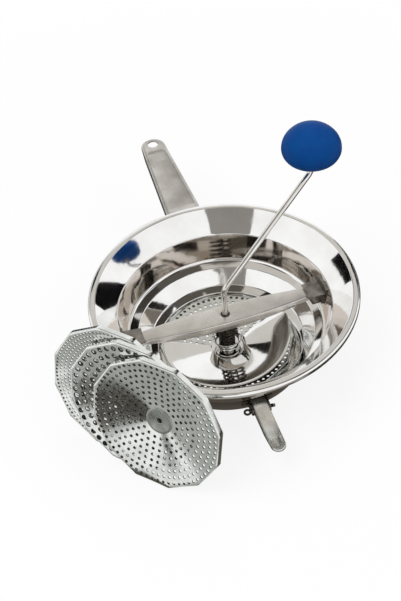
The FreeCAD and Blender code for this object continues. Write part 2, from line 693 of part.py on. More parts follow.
def handle_plan(inset, root, height):
    """Tapered plan with a round tip; the inset is the distance in from the outer edge."""
    tip_radius = HANDLE_TIP_WIDTH / 2
    tip_middle = HANDLE_TIP - tip_radius
    root_half = between(RIM_RADIUS, tip_middle, root, HANDLE_ROOT_WIDTH / 2, tip_radius) - inset
    tip_half = tip_radius - inset
    nose = Part.Arc(
        point(tip_half, tip_middle, height),
        point(0, tip_middle + tip_half, height),
        point(-tip_half, tip_middle, height),
    )
    root_left = point(-root_half, root, height)
    root_right = point(root_half, root, height)
    sides = Part.makePolygon([nose.EndPoint, root_left, root_right, nose.StartPoint])
    return Part.Face(Part.Wire([nose.toShape()] + sides.Edges))


def tip_relief(tip, straight_end, ramp, foot, tip_foot, half_width):
    """Space under a channel's round tip, whose wall rises from foot to tip_foot along a ramp.

    tip and straight_end are distances along Y, with the same sign.
    """
    away = math.copysign(1, tip)
    below = foot - ramp
    side = [(straight_end - away * ramp, foot), (straight_end, tip_foot), (tip + away * ramp, tip_foot)]
    side.extend([(tip + away * ramp, below), (straight_end - away * ramp, below)])
    corners = [point(-half_width, y, z) for y, z in side]
    return Part.Face(Part.makePolygon(corners + corners[:1])).extrude(point(2 * half_width, 0, 0))


def flange_cone():
    """Solid inside the outer skin of the flange cone, with the weld gap to spare."""
    slope = (RIM_RADIUS - LIP_WIDTH - FLANGE_RADIUS) / (RIM_HEIGHT - FLANGE_HEIGHT)
    skin = (BOWL_SHEET + WELD_GAP) * math.hypot(1, slope)
    low = FLANGE_RADIUS - slope * FLANGE_HEIGHT + skin
    high = low + slope * 2 * RIM_HEIGHT
    return turned([(0, 0), (low, 0), (high, 2 * RIM_HEIGHT), (0, 2 * RIM_HEIGHT)])


def handle():
    """Stamped hollow handle under the flange, shallow at its tip, with a hanging hole and a sunk panel."""
    foot = HANDLE_TOP - HANDLE_DEPTH
    outside = handle_plan(0, FLANGE_RADIUS, foot).extrude(UP * HANDLE_DEPTH)
    shoulders = [e for e in outside.Edges if e.BoundBox.ZMin > foot + HANDLE_SHEET]
    shoulders = [e for e in shoulders if e.BoundBox.YMax > FLANGE_RADIUS + HANDLE_SHEET]
    outside = outside.makeFillet(HANDLE_SHOULDER, shoulders)
    hollow = handle_plan(HANDLE_SHEET, FLANGE_RADIUS, foot).extrude(UP * (HANDLE_DEPTH - HANDLE_SHEET))
    roof = [e for e in hollow.Edges if e.BoundBox.ZMin > foot + HANDLE_SHEET]
    roof = [e for e in roof if e.BoundBox.YMax > FLANGE_RADIUS + HANDLE_SHEET]
    hollow = hollow.makeFillet(HANDLE_SHOULDER - HANDLE_SHEET, roof)
    hole_y = HANDLE_TIP - HANG_HOLE_INSET
    hole = disc(HANG_HOLE_RADIUS, foot, HANDLE_TOP, 0, hole_y)
    tip_foot = HANDLE_TOP - HANDLE_TIP_DEPTH
    straight_end = HANDLE_TIP - HANDLE_TIP_WIDTH / 2
    relief = tip_relief(HANDLE_TIP, straight_end, HANDLE_RAMP, foot, tip_foot, HANDLE_ROOT_WIDTH)
    return outside.cut([hollow, hole, handle_panel(), flange_cone(), relief])


def handle_panel():
    """Shallow plain panel sunk into the top of the handle."""
    start_width = between(RIM_RADIUS, HANDLE_TIP, PANEL_START, HANDLE_ROOT_WIDTH, HANDLE_TIP_WIDTH)
    end_width = between(RIM_RADIUS, HANDLE_TIP, PANEL_END, HANDLE_ROOT_WIDTH, HANDLE_TIP_WIDTH)
    start_half = start_width / 2 - PANEL_MARGIN
    end_half = end_width / 2 - PANEL_MARGIN
    floor = HANDLE_TOP - PANEL_DEPTH
    corners = [point(-start_half, PANEL_START, floor), point(start_half, PANEL_START, floor)]
    corners.extend([point(end_half, PANEL_END, floor), point(-end_half, PANEL_END, floor)])
    block = Part.Face(Part.makePolygon(corners + corners[:1])).extrude(UP * (2 * PANEL_DEPTH))
    upright = [e for e in block.Edges if e.BoundBox.ZLength > PANEL_DEPTH]
    return block.makeFillet(PANEL_CORNER, upright)


def leg_plan(half_width, root, nose_middle, height):
    """Straight-sided plan with a round nose towards -Y."""
    nose = Part.Arc(
        point(-half_width, -nose_middle, height),
        point(0, -nose_middle - half_width, height),
        point(half_width, -nose_middle, height),
    )
    root_right = point(half_width, -root, height)
    root_left = point(-half_width, -root, height)
    sides = Part.makePolygon([nose.EndPoint, root_right, root_left, nose.StartPoint])
    return Part.Face(Part.Wire([nose.toShape()] + sides.Edges))


def leg():
    """Folding rest: an inverted channel that thins to a round nose with a grooved rim."""
    half = LEG_WIDTH / 2
    nose = LEG_TIP - half
    foot = LEG_TOP - LEG_DEPTH
    outside = leg_plan(half, LEG_ROOT, nose, foot).extrude(UP * LEG_DEPTH)
    top_edges = [e for e in outside.Edges if e.BoundBox.ZMin > foot + LEG_SHEET]
    shoulders = [e for e in top_edges if e.BoundBox.YLength > LEG_SHEET]
    outside = outside.makeFillet(LEG_EDGE_BEND, shoulders)
    hollow = leg_plan(half - LEG_SHEET, LEG_ROOT, nose, foot).extrude(UP * (LEG_DEPTH - LEG_SHEET))
    groove_foot = LEG_TOP - LEG_GROOVE_DEPTH
    groove_root = nose - LEG_GROOVE_LENGTH
    groove = leg_plan(half - LEG_RIM, groove_root, nose, groove_foot).extrude(UP * LEG_GROOVE_DEPTH)
    tongue = leg_plan(half - LEG_RIM - LEG_GROOVE, groove_root, nose, groove_foot)
    groove = groove.cut(tongue.extrude(UP * LEG_GROOVE_DEPTH))
    relief = tip_relief(-LEG_TIP, -nose, LEG_RAMP, foot, LEG_TOP - LEG_TIP_DEPTH, LEG_WIDTH)
    return outside.cut([hollow, groove, hinge_bar(HINGE_RADIUS + RUNNING_CLEARANCE), relief])


def hinge_bar(radius):
    """Round bar along the leg's hinge axis, longer than the hinge is wide."""
    return Part.makeCylinder(
        radius,
        2 * LEG_WIDTH,
        point(-LEG_WIDTH, -HINGE_DISTANCE, HINGE_HEIGHT),
        point(1, 0, 0),
    )


def bracket_seat(height):
    """Radius of the bracket's back at a height, close to the skin of the base skirt."""
    return skirt_radius(height) + WELD_GAP


def skirt_plate(low, high, thickness, half_angle):
    """Piece of conical sheet lying on the outside of the base skirt, centred on -Y."""
    across = thickness / math.cos(skirt_tilt())
    outline = [(bracket_seat(low), low), (bracket_seat(low) + across, low)]
    outline.extend([(bracket_seat(high) + across, high), (bracket_seat(high), high)])
    plate = turned(outline, 2 * half_angle)
    plate.rotate(ORIGIN, UP, -90 - half_angle)
    return plate


def leg_bracket():
    """Hinge bracket: a plate riveted to the skirt with two rounded ears."""
    body = skirt_plate(BRACKET_FOOT, BRACKET_HEAD, BRACKET_SHEET, BRACKET_HALF_ANGLE)
    inside = turned([(0, 0), (bracket_seat(0), 0), (bracket_seat(RIM_HEIGHT), RIM_HEIGHT), (0, RIM_HEIGHT)])
    for side in (-1, 1):
        near = side * (LEG_WIDTH / 2 + EAR_PLAY)
        far = side * (LEG_WIDTH / 2 + EAR_PLAY + BRACKET_SHEET)
        face_x = min(near, far)
        centre = point(face_x, -HINGE_DISTANCE, HINGE_HEIGHT)
        eye = Part.makeCylinder(EAR_RADIUS, BRACKET_SHEET, centre, point(1, 0, 0))
        arm = Part.makeBox(
            BRACKET_SHEET,
            HINGE_DISTANCE,
            2 * EAR_RADIUS,
            point(face_x, -HINGE_DISTANCE, HINGE_HEIGHT - EAR_RADIUS),
        )
        body = body.fuse(eye.fuse(arm).cut(inside))
    return body.cut([hinge_bar(HINGE_RADIUS)] + rivet_shanks()).removeSplitter()


def rivet_places():
    """Placement of each bracket rivet, on the bracket's back and square to its sheet."""
    middle = (BRACKET_FOOT + BRACKET_HEAD) / 2
    tilt = skirt_tilt()
    places = []
    for side in (-1, 1):
        angle = math.radians(-90 + side * RIVET_ANGLE)
        out = point(math.cos(angle), math.sin(angle), 0)
        square = out * math.cos(tilt) - UP * math.sin(tilt)
        spot = out * bracket_seat(middle) + UP * middle
        places.append(FreeCAD.Placement(spot, FreeCAD.Rotation(UP, square)))
    return places


def rivet_shanks():
    shanks = []
    for place in rivet_places():
        shank = disc(RIVET_RADIUS / 2, -BRACKET_SHEET, 2 * BRACKET_SHEET)
        shank.Placement = place
        shanks.append(shank)
    return shanks


def rivet():
    """Domed rivet along Z with its shank foot at zero."""
    top = BRACKET_SHEET + RIVET_HEAD
    dome_radius = (RIVET_RADIUS ** 2 + RIVET_HEAD ** 2) / (2 * RIVET_HEAD)
    half = math.asin(RIVET_RADIUS / dome_radius) / 2
    on_dome = point(dome_radius * math.sin(half), 0, top - dome_radius * (1 - math.cos(half)))
    crown = point(0, 0, top)
    brim = point(RIVET_RADIUS, 0, BRACKET_SHEET)
    shank = [point(RIVET_RADIUS / 2, 0, height) for height in (0, BRACKET_SHEET)]
    outline = Part.makePolygon([crown, ORIGIN] + shank + [brim])
    dome = Part.Arc(brim, on_dome, crown).toShape()
    return Part.Face(Part.Wire(outline.Edges + [dome])).revolve(ORIGIN, UP, 360)


def leg_bracket_rivets():
    """Two domed rivets on the bracket plate."""
    rivets = []
    for place in rivet_places():
        one = rivet()
        one.Placement = place
        rivets.append(one)
    return Part.makeCompound(rivets)


def leg_pin():
    """Cotter hinge pin: round eye on the left, bent tail on the right."""
    reach = LEG_WIDTH / 2 + EAR_PLAY + BRACKET_SHEET
    eye_x = -reach - HINGE_EYE_RADIUS - HINGE_EYE_WIRE - RUNNING_CLEARANCE
    tail_x = reach + HINGE_RADIUS
    centre = point(eye_x, -HINGE_DISTANCE, HINGE_HEIGHT)
    along = point(1, 0, 0)
    shank = Part.makeCylinder(HINGE_RADIUS, tail_x - eye_x, centre, along)
    shank = shank.cut(Part.makeCylinder(HINGE_EYE_RADIUS, 2 * LEG_WIDTH, centre - UP * LEG_WIDTH, UP))
    eye = Part.makeTorus(HINGE_EYE_RADIUS, HINGE_EYE_WIRE, centre, UP)
    corner = point(tail_x, -HINGE_DISTANCE, HINGE_HEIGHT)
    tail = Part.makeCylinder(HINGE_RADIUS, HINGE_TAIL, corner, point(1, -1, 1).normalize())
    return shank.fuse([eye, tail, Part.makeSphere(HINGE_RADIUS, corner)])


def nodes():
    """Every node of the mill by name."""
    parts = {}
    parts["bowl"] = bowl()
    parts["base_skirt"] = base_skirt()
    parts["handle"] = handle()
    parts["leg_bracket"] = leg_bracket()
    parts["leg_bracket_rivets"] = leg_bracket_rivets()
    parts["leg"] = leg()
    parts["leg_pin"] = leg_pin()
    parts["lug_right"] = lug()
    parts["lug_left"] = lug()
    parts["lug_left"].rotate(ORIGIN, UP, 180)
    parts["bridge_bar"] = bridge_bar()
    parts["bridge_bush"] = bridge_bush()
    parts["spring_washer"] = spring_washer()
    parts["spring"] = spring()
    parts["spring_cup"] = spring_cup()
    parts["crank_rod"] = crank_rod()
    parts["hub_pin"] = cross_pin()
    parts["blade_hub"] = blade_hub()
    parts["blade"] = blade()
    parts["knob"] = knob()
    parts["knob_sleeve"] = knob_sleeve()
    parts["knob_clip"] = knob_clip()
    parts["knob_washer"] = knob_washer()
    seat = FreeCAD.Placement(point(0, 0, SEAT_HEIGHT), FreeCAD.Rotation())
    spares = spare_places()
    grids = [("grid", MEDIUM_HOLE, MEDIUM_PITCH, seat)]
    grids.append(("spare_grid_fine", FINE_HOLE, FINE_PITCH, spares[0]))
    grids.append(("spare_grid_coarse", COARSE_HOLE, COARSE_PITCH, spares[1]))
    grids.append(("spare_grid_medium", MEDIUM_HOLE, MEDIUM_PITCH, spares[2]))
    for name, hole, pitch, place in grids:
        sheet = grid_sheet(hole, pitch)
        sheet.Placement = place
        boss = grid_boss()
        boss.Placement = place
        parts[name] = sheet
        parts[name + "_boss"] = boss
    return parts


os.makedirs("parts", exist_ok=True)
for name, shape in nodes().items():
    shape.exportStep("parts/" + name + ".step")
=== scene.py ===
"""Looks of a rotary food mill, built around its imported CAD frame.

The frame has its origin on the bowl axis at the standing face, with +Z up, the handle along +Y, the rest
leg along -Y and the bridge along X. Sizes of the mill are in millimetres and sizes of the studio in metres.
Angles in fields are in degrees. Finished meshes are in metres.
"""
import logging
import math
from dataclasses import dataclass
from enum import Enum
from functools import cache
from typing import Sequence

import bmesh
import bpy
from bmesh.types import BMEdge, BMesh, BMVert
from bpy.types import Material, Mesh, Node, NodeOutputs, NodeSocket, NodeTree, Object
from mathutils import Matrix, Vector


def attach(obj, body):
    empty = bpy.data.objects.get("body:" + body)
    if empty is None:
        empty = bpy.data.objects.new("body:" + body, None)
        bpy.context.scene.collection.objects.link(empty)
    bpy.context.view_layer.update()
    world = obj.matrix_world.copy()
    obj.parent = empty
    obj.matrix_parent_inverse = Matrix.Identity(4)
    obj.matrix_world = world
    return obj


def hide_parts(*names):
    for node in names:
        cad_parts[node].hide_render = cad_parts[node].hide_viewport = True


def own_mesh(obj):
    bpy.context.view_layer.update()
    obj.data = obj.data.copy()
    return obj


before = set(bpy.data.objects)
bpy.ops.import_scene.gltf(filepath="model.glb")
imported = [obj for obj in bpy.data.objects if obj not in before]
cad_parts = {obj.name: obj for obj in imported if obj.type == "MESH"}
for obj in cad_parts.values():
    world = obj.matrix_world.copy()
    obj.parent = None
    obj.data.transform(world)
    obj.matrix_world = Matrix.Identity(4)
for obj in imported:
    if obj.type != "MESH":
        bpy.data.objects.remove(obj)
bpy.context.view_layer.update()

LOG = logging.getLogger("food_mill")
MM = 0.001
UP = Vector((0, 0, 1))
# Face attribute that marks the walls of punched holes.
HOLE_WALL = "hole_wall"
# Pieces that a full turn of the bowl, the edge of a hole and a bend are drawn in.
ROUND_STEPS = 288
HOLE_STEPS = 48
BEND_STEPS = 6
# Radius under which a turned outline ends in a pole.
POLE = 1e-6
# Edges that turn by more than these angles are shaded sharp, or are broken by a bevel.
SMOOTH_ANGLE = math.radians(32)
BEVEL_ANGLE = math.radians(50)
# Share of a bar's radius that the broken edge at its ends takes.
BROKEN_END = 0.18
# Holes of a ring come in this many equal sectors.
SECTORS = 6
# Sides of a punch, and the share of its length that goes below the upper skin of the sheet.
PUNCH_SIDES = 12
PUNCH_SINK = 0.62
# Work lines are this many times longer than they are apart.
LINE_STRETCH = 45
# Values of the noise between which wear and smudges go from none to full.
WEAR_RANGE = (0.12, 0.40)
SMUDGE_RANGE = (0.35, 0.70)
# Height in millimetres over which a band of another tone fades out.
BAND_EDGE = 2.0
# Numbers of the sockets of a Mix node for colours, because several of them share a name.
MIX_SHARE = 0
MIX_FIRST = 6
MIX_SECOND = 7
MIX_RESULT = 2
WHITE = "#ffffff"


class Body(Enum):
    """Bodies of the frame that the pieces ride on."""

    BOWL = "bowl_body"
    BRIDGE = "bridge_body"
    LIFT = "lift_body"
    CRANK = "crank_body"
    KNOB = "knob_body"
    LEG = "leg_body"


class Slot(Enum):
    """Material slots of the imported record."""

    POLISHED = "polished_steel"
    SATIN = "satin_steel"
    GRID = "grid_steel"
    SPRING = "spring_steel"
    KNOB = "blue_plastic"


class Grain(Enum):
    """Way in which the work lines of a metal surface run."""

    ROUND = "round the bowl axis"
    ALONG_X = "along the bridge"
    ALONG_Y = "along the handle and the leg"
    ALONG_Z = "up and down"
    NONE = "no one way"


class Holes(Enum):
    """Diameter of a grid's holes at their foot, and the distance from hole to hole."""

    FINE = (2.0, 4.7)
    MEDIUM = (2.8, 7.4)
    COARSE = (4.8, 9.6)


def to_linear(code: str) -> tuple[float, float, float, float]:
    """Turn an sRGB hex code to a linear colour.

    Args:
        code: Colour such as "#a0b1c2".

    Returns:
        Linear red, green, blue and an alpha of one.
    """
    shares = [int(code[i:i + 2], 16) / 255 for i in (1, 3, 5)]
    linear = [s / 12.92 if s <= 0.04045 else ((s + 0.055) / 1.055) ** 2.4 for s in shares]
    return (linear[0], linear[1], linear[2], 1.0)


def add_node(tree: NodeTree, kind: str, inputs: dict | None = None, **settings: object) -> Node:
    """Add a node with its settings, and link or set its inputs.

    Args:
        tree: Node tree that gets the node.
        kind: Blender's name of the node type.
        inputs: Values or output sockets by the name or number of the input.
        **settings: Properties of the node itself.

    Returns:
        The new node.
    """
    node = tree.nodes.new(kind)
    for name, value in settings.items():
        setattr(node, name, value)
    for key, value in (inputs or {}).items():
        if isinstance(value, NodeSocket):
            tree.links.new(value, node.inputs[key])
        else:
            node.inputs[key].default_value = value
    return node


def new_material(name: str) -> Material:
    """Start a material with an empty node tree.

    Args:
        name: Name of the material.

    Returns:
        The material.
    """
    material = bpy.data.materials.new(name)
    material.use_nodes = True
    material.node_tree.nodes.clear()
    return material


@dataclass(frozen=True)
class Steel:
    """Steel surface with work lines, faint smudges and slight changes of tone.

    Attributes:
        name: Name of the material.
        colour: Tone of the clean metal.
        shade: Tone where the metal is duller.
        roughness: Middle roughness.
        spread: Change of roughness either way.
        grain: Way of the work lines.
        line: Spacing of the work lines in millimetres, drawn coarser than real so that they show.
        depth: Depth of the work lines in millimetres.
        smudge: Size of the smudges in millimetres.
        wave: Depth of the sheet's broad unevenness in millimetres, as wide as the smudges.
        band: Lowest and highest point in millimetres of a band in another tone.
        band_tone: Tone in that band, painted over the metal's own; on the bowl's wall it is a painted
            reflection.
        cut_tone: Dark tone on faces that carry the hole wall attribute: the bare steel of the cut, with
            painted shade inside the punched holes.
    """

    name: str
    colour: str
    shade: str
    roughness: float
    spread: float
    grain: Grain
    line: float
    depth: float
    smudge: float
    wave: float = 0.0
    band: tuple[float, float] | None = None
    band_tone: str = WHITE
    cut_tone: str | None = None

    def turned_lines(self, tree: NodeTree, place: NodeSocket, fine: float) -> NodeSocket:
        """Noise in fine rings round the bowl axis.

        Args:
            tree: Node tree of the material.
            place: Object coordinates in metres.
            fine: Work lines in a metre.

        Returns:
            Strength of the lines.
        """
        parts = add_node(tree, "ShaderNodeSeparateXYZ", {0: place}).outputs
        flat = add_node(tree, "ShaderNodeCombineXYZ", {0: parts[0], 1: parts[1]}).outputs[0]
        radius = add_node(tree, "ShaderNodeVectorMath", {0: flat}, operation="LENGTH").outputs["Value"]
        heading = add_node(tree, "ShaderNodeVectorMath", {0: flat}, operation="NORMALIZE").outputs[0]
        turn = add_node(tree, "ShaderNodeSeparateXYZ", {0: heading}).outputs
        across = add_node(tree, "ShaderNodeMath", {0: radius, 1: fine}, operation="MULTIPLY").outputs[0]
        rise = add_node(tree, "ShaderNodeMath", {0: parts[2], 1: fine}, operation="MULTIPLY").outputs[0]
        spot = add_node(tree, "ShaderNodeCombineXYZ", {0: across, 1: turn[0], 2: turn[1]}).outputs[0]
        rings = {"Vector": spot, "W": rise, "Scale": 1.0, "Detail": 2.0}
        return add_node(tree, "ShaderNodeTexNoise", rings, noise_dimensions="4D").outputs["Fac"]

    def work_lines(self, tree: NodeTree, place: NodeSocket) -> NodeSocket:
        """Noise that is fine across the work lines and long along them.

        Args:
            tree: Node tree of the material.
            place: Object coordinates in metres.

        Returns:
            Strength of the lines.
        """
        fine = 1 / (self.line * MM)
        if self.grain is Grain.ROUND:
            return self.turned_lines(tree, place, fine)
        along = fine / LINE_STRETCH
        scales = {
            Grain.ALONG_X: (along, fine, fine),
            Grain.ALONG_Y: (fine, along, fine),
            Grain.ALONG_Z: (fine, fine, along),
            Grain.NONE: (fine, fine, fine),
        }
        stretch = {0: place, 1: scales[self.grain]}
        spot = add_node(tree, "ShaderNodeVectorMath", stretch, operation="MULTIPLY").outputs[0]
        streaks = {"Vector": spot, "Scale": 1.0, "Detail": 3.0}
        return add_node(tree, "ShaderNodeTexNoise", streaks).outputs["Fac"]

    def banded(self, tree: NodeTree, place: NodeSocket, tone: NodeSocket) -> NodeSocket:
        """Mix the band's tone in between its two heights.

        Args:
            tree: Node tree of the material.
            place: Object coordinates in metres.
            tone: Tone outside the band.

        Returns:
            The tone with the band.
        """
        if self.band is None:
            return tone
        low, high = self.band
        height = add_node(tree, "ShaderNodeSeparateXYZ", {0: place}).outputs[2]
        middle = {0: height, 1: (low + high) / 2 * MM}
        offset = add_node(tree, "ShaderNodeMath", middle, operation="SUBTRACT").outputs[0]
        apart = add_node(tree, "ShaderNodeMath", {0: offset}, operation="ABSOLUTE").outputs[0]
        reach = (high - low) / 2
        edge = {"Value": apart, "From Min": (reach - BAND_EDGE) * MM, "From Max": reach * MM}
        fade = {"To Min": 1.0, "To Max": 0.0}
        share = add_node(tree, "ShaderNodeMapRange", {**edge, **fade}).outputs[0]
        tones = {MIX_SHARE: share, MIX_FIRST: tone, MIX_SECOND: to_linear(self.band_tone)}
        return add_node(tree, "ShaderNodeMix", tones, data_type="RGBA").outputs[MIX_RESULT]

    def holed(self, tree: NodeTree, tone: NodeSocket) -> NodeSocket:
        """Mix the dark tone in on the walls of punched holes, as bare cut steel with painted shade.

        Args:
            tree: Node tree of the material.
            tone: Tone outside the holes.

        Returns:
            The tone with the holes.
        """
        if self.cut_tone is None:
            return tone
        wall = add_node(tree, "ShaderNodeAttribute", attribute_name=HOLE_WALL).outputs["Fac"]
        tones = {MIX_SHARE: wall, MIX_FIRST: tone, MIX_SECOND: to_linear(self.cut_tone)}
        return add_node(tree, "ShaderNodeMix", tones, data_type="RGBA").outputs[MIX_RESULT]

    @cache
    def make(self) -> Material:
        """Build the material once.

        Returns:
            The material, the same one at each call.
        """
        material = new_material(self.name)
        tree = material.node_tree
        place = add_node(tree, "ShaderNodeTexCoord").outputs["Object"]
        lines = self.work_lines(tree, place)
        blots = {"Vector": place, "Scale": 1 / (self.smudge * MM), "Detail": 3.0}
        smudge = add_node(tree, "ShaderNodeTexNoise", blots).outputs["Fac"]
        wear = add_node(tree, "ShaderNodeMath", {0: lines, 1: smudge}, operation="MULTIPLY").outputs[0]
        worn = {"Value": wear, "From Min": WEAR_RANGE[0], "From Max": WEAR_RANGE[1]}
        gloss = {"To Min": self.roughness - self.spread, "To Max": self.roughness + self.spread}
        rough = add_node(tree, "ShaderNodeMapRange", {**worn, **gloss}).outputs[0]
        dull = {"Value": smudge, "From Min": SMUDGE_RANGE[0], "From Max": SMUDGE_RANGE[1]}
        share = add_node(tree, "ShaderNodeMapRange", dull).outputs[0]
        tones = {MIX_SHARE: share, MIX_FIRST: to_linear(self.colour), MIX_SECOND: to_linear(self.shade)}
        tone = add_node(tree, "ShaderNodeMix", tones, data_type="RGBA").outputs[MIX_RESULT]
        scored = {"Height": lines, "Distance": self.depth * MM, "Strength": 1.0}
        fine = add_node(tree, "ShaderNodeBump", scored).outputs[0]
        uneven = {"Height": smudge, "Distance": self.wave * MM, "Strength": 1.0, "Normal": fine}
        broad = add_node(tree, "ShaderNodeBump", uneven).outputs[0]
        surface = {
            "Base Color": self.holed(tree, self.banded(tree, place, tone)),
            "Metallic": 1.0,
            "Roughness": rough,
            "Normal": broad,
        }
        shader = add_node(tree, "ShaderNodeBsdfPrincipled", surface).outputs[0]
        add_node(tree, "ShaderNodeOutputMaterial", {"Surface": shader})
        return material


@dataclass(frozen=True)
class Plastic:
    """Moulded plastic with a fine skin texture, soft gloss and faint handling marks.

    Attributes:
        name: Name of the material.
        colour: Tone of the plastic.
        shade: Tone where it is rubbed.
        roughness: Lowest and highest roughness.
        skin: Grain of the mould in millimetres, drawn coarser than real so that it shows.
        depth: Depth of the skin texture in millimetres.
        rub: Size of the rubbed areas in millimetres.
        ior: Index of refraction.
        glint: Level of the glints, low on an eroded skin.
    """

    name: str
    colour: str
    shade: str
    roughness: tuple[float, float]
    skin: float
    depth: float
    rub: float
    ior: float
    glint: float

    @cache
    def make(self) -> Material:
        """Build the material once.

        Returns:
            The material, the same one at each call.
        """
        material = new_material(self.name)
        tree = material.node_tree
        place = add_node(tree, "ShaderNodeTexCoord").outputs["Object"]
        handled = {"Vector": place, "Scale": 1 / (self.rub * MM), "Detail": 4.0}
        rub = add_node(tree, "ShaderNodeTexNoise", handled).outputs["Fac"]
        eroded = {"Vector": place, "Scale": 1 / (self.skin * MM), "Detail": 1.0}
        skin = add_node(tree, "ShaderNodeTexNoise", eroded).outputs["Fac"]
        tones = {MIX_SHARE: rub, MIX_FIRST: to_linear(self.colour), MIX_SECOND: to_linear(self.shade)}
        gloss = {"Value": rub, "To Min": self.roughness[0], "To Max": self.roughness[1]}
        relief = {"Height": skin, "Distance": self.depth * MM, "Strength": 1.0}
        surface = {
            "Base Color": add_node(tree, "ShaderNodeMix", tones, data_type="RGBA").outputs[MIX_RESULT],
            "Roughness": add_node(tree, "ShaderNodeMapRange", gloss).outputs[0],
            "Normal": add_node(tree, "ShaderNodeBump", relief).outputs[0],
            "IOR": self.ior,
            "Specular IOR Level": self.glint,
        }
        shader = add_node(tree, "ShaderNodeBsdfPrincipled", surface).outputs[0]
        add_node(tree, "ShaderNodeOutputMaterial", {"Surface": shader})
        return material


# Stainless steel, spun and buffed to a mirror: it shows the room sharply and a little bent, with faint rings
# from the lathe. The steep wall has a band of a warmer and darker tone, a painted reflection of warm grey
# surroundings.
MIRROR_STEEL = Steel(
    "stainless_steel_spun_mirror", "#f7f7f6", "#eae9e7", roughness=0.06, spread=0.02,
    grain=Grain.ROUND, line=1.6, depth=0.0012, smudge=45.0,
    wave=0.20, band=(46.0, 78.0), band_tone="#d3cbc3",
)
# Stainless steel sheet, pressed and tumbled: a soft grey sheen with faint drawn lines.
HANDLE_STEEL = Steel(
    "stainless_steel_satin_handle", "#cbc8c3", "#b3afa9", roughness=0.33, spread=0.08,
    grain=Grain.ALONG_Y, line=0.9, depth=0.006, smudge=22.0,
)
# The same sheet with its skin brushed along the leg: a light, cool grey that blurs what it shows.
LEG_STEEL = Steel(
    "stainless_steel_satin_leg", "#eceeea", "#d7d9d5", roughness=0.30, spread=0.07,
    grain=Grain.ALONG_Y, line=0.9, depth=0.006, smudge=20.0,
)
# The same sheet brushed along the bridge: a light, warm grey with streaks from end to end.
BRIDGE_STEEL = Steel(
    "stainless_steel_satin_bridge", "#ebe8e3", "#d3cfc9", roughness=0.30, spread=0.07,
    grain=Grain.ALONG_X, line=0.9, depth=0.005, smudge=26.0,
)
# Stainless steel sheet under the bowl, drawn and left unbuffed: a darker, half-sharp shine with rings.
SKIRT_STEEL = Steel(
    "stainless_steel_drawn_skirt", "#b3aea7", "#948e86", roughness=0.14, spread=0.06,
    grain=Grain.ROUND, line=1.2, depth=0.003, smudge=40.0,
)
# Tinned steel sheet, rolled and punched: a cool bright grey with a slight bloom, and dark hole walls that are
# bare steel with painted shade in the holes.
GRID_STEEL = Steel(
    "tinned_steel_punched_grid", "#e9ebe8", "#d2d5d1", roughness=0.13, spread=0.05,
    grain=Grain.NONE, line=2.4, depth=0.006, smudge=18.0,
    cut_tone="#4b4a46",
)
# Tinned steel, turned: a dull middle grey that sets the boss off from the bright sheet.
BOSS_STEEL = Steel(
    "tinned_steel_turned_boss", "#a7a9a4", "#8b8e89", roughness=0.30, spread=0.07,
    grain=Grain.NONE, line=1.2, depth=0.004, smudge=9.0,
)
# Drawn stainless wire, bright from the die: sharp bright and dark streaks along its length.
ROD_STEEL = Steel(
    "stainless_steel_drawn_rod", "#eeece8", "#d6d3ce", roughness=0.08, spread=0.03,
    grain=Grain.ALONG_Z, line=0.8, depth=0.002, smudge=30.0,
)
# Oil-tempered spring wire: dark, with a low metallic gleam.
SPRING_STEEL = Steel(
    "spring_steel_oil_tempered", "#6a645d", "#3d3934", roughness=0.30, spread=0.08,
    grain=Grain.NONE, line=0.6, depth=0.004, smudge=6.0,
)
# Small stainless pressings, tumbled: an even grey with soft highlights.
FITTING_STEEL = Steel(
    "stainless_steel_pressed_fittings", "#a5a19b", "#77736d", roughness=0.26, spread=0.08,
    grain=Grain.NONE, line=0.8, depth=0.005, smudge=12.0,
)
# Plain dark steel with dull patches on the hinge; in the bush the dark tone is painted shade of its recess
# under the bar's hole.
HINGE_STEEL_AND_BUSH_SHADE = Steel(
    "plain_steel_dark_hinge_and_bush_shade", "#6b6660", "#3c3834", roughness=0.30, spread=0.08,
    grain=Grain.NONE, line=0.7, depth=0.005, smudge=8.0,
)
# Polypropylene from a lightly eroded mould: a deep even blue with a soft sheen and hardly any glint.
KNOB_PLASTIC = Plastic(
    "polypropylene_blue_moulded", "#024682", "#0d3679", roughness=(0.40, 0.54),
    skin=0.9, depth=0.012, rub=16.0, ior=1.49, glint=0.06,
)


def polar(radius: float, turn: float, height: float) -> Vector:
    """Point at a radius, an angle in radians and a height."""
    return Vector((radius * math.cos(turn), radius * math.sin(turn), height))


def rounded(points: Sequence[Vector], bends: Sequence[float], steps: int = BEND_STEPS) -> list[Vector]:
    """Line through points with a tangent arc at each inner one.

    Args:
        points: Corners of the line, in two or three dimensions.
        bends: Radius of the arc at each inner corner.
        steps: Pieces that each arc is drawn in.

    Returns:
        Points along the line.
    """
    line = [points[0].copy()]
    for before, corner, after, bend in zip(points, points[1:], points[2:], bends):
        arriving = (corner - before).normalized()
        leaving = (after - corner).normalized()
        turn = arriving.angle(leaving)
        cut = bend * math.tan(turn / 2)
        centre = corner + (leaving - arriving).normalized() * (bend / math.cos(turn / 2))
        first = corner - arriving * cut - centre
        last = corner + leaving * cut - centre
        for step in range(steps + 1):
            share = step / steps
            mixed = first * math.sin((1 - share) * turn) + last * math.sin(share * turn)
            line.append(centre + mixed / math.sin(turn))
    line.append(points[-1].copy())
    return line


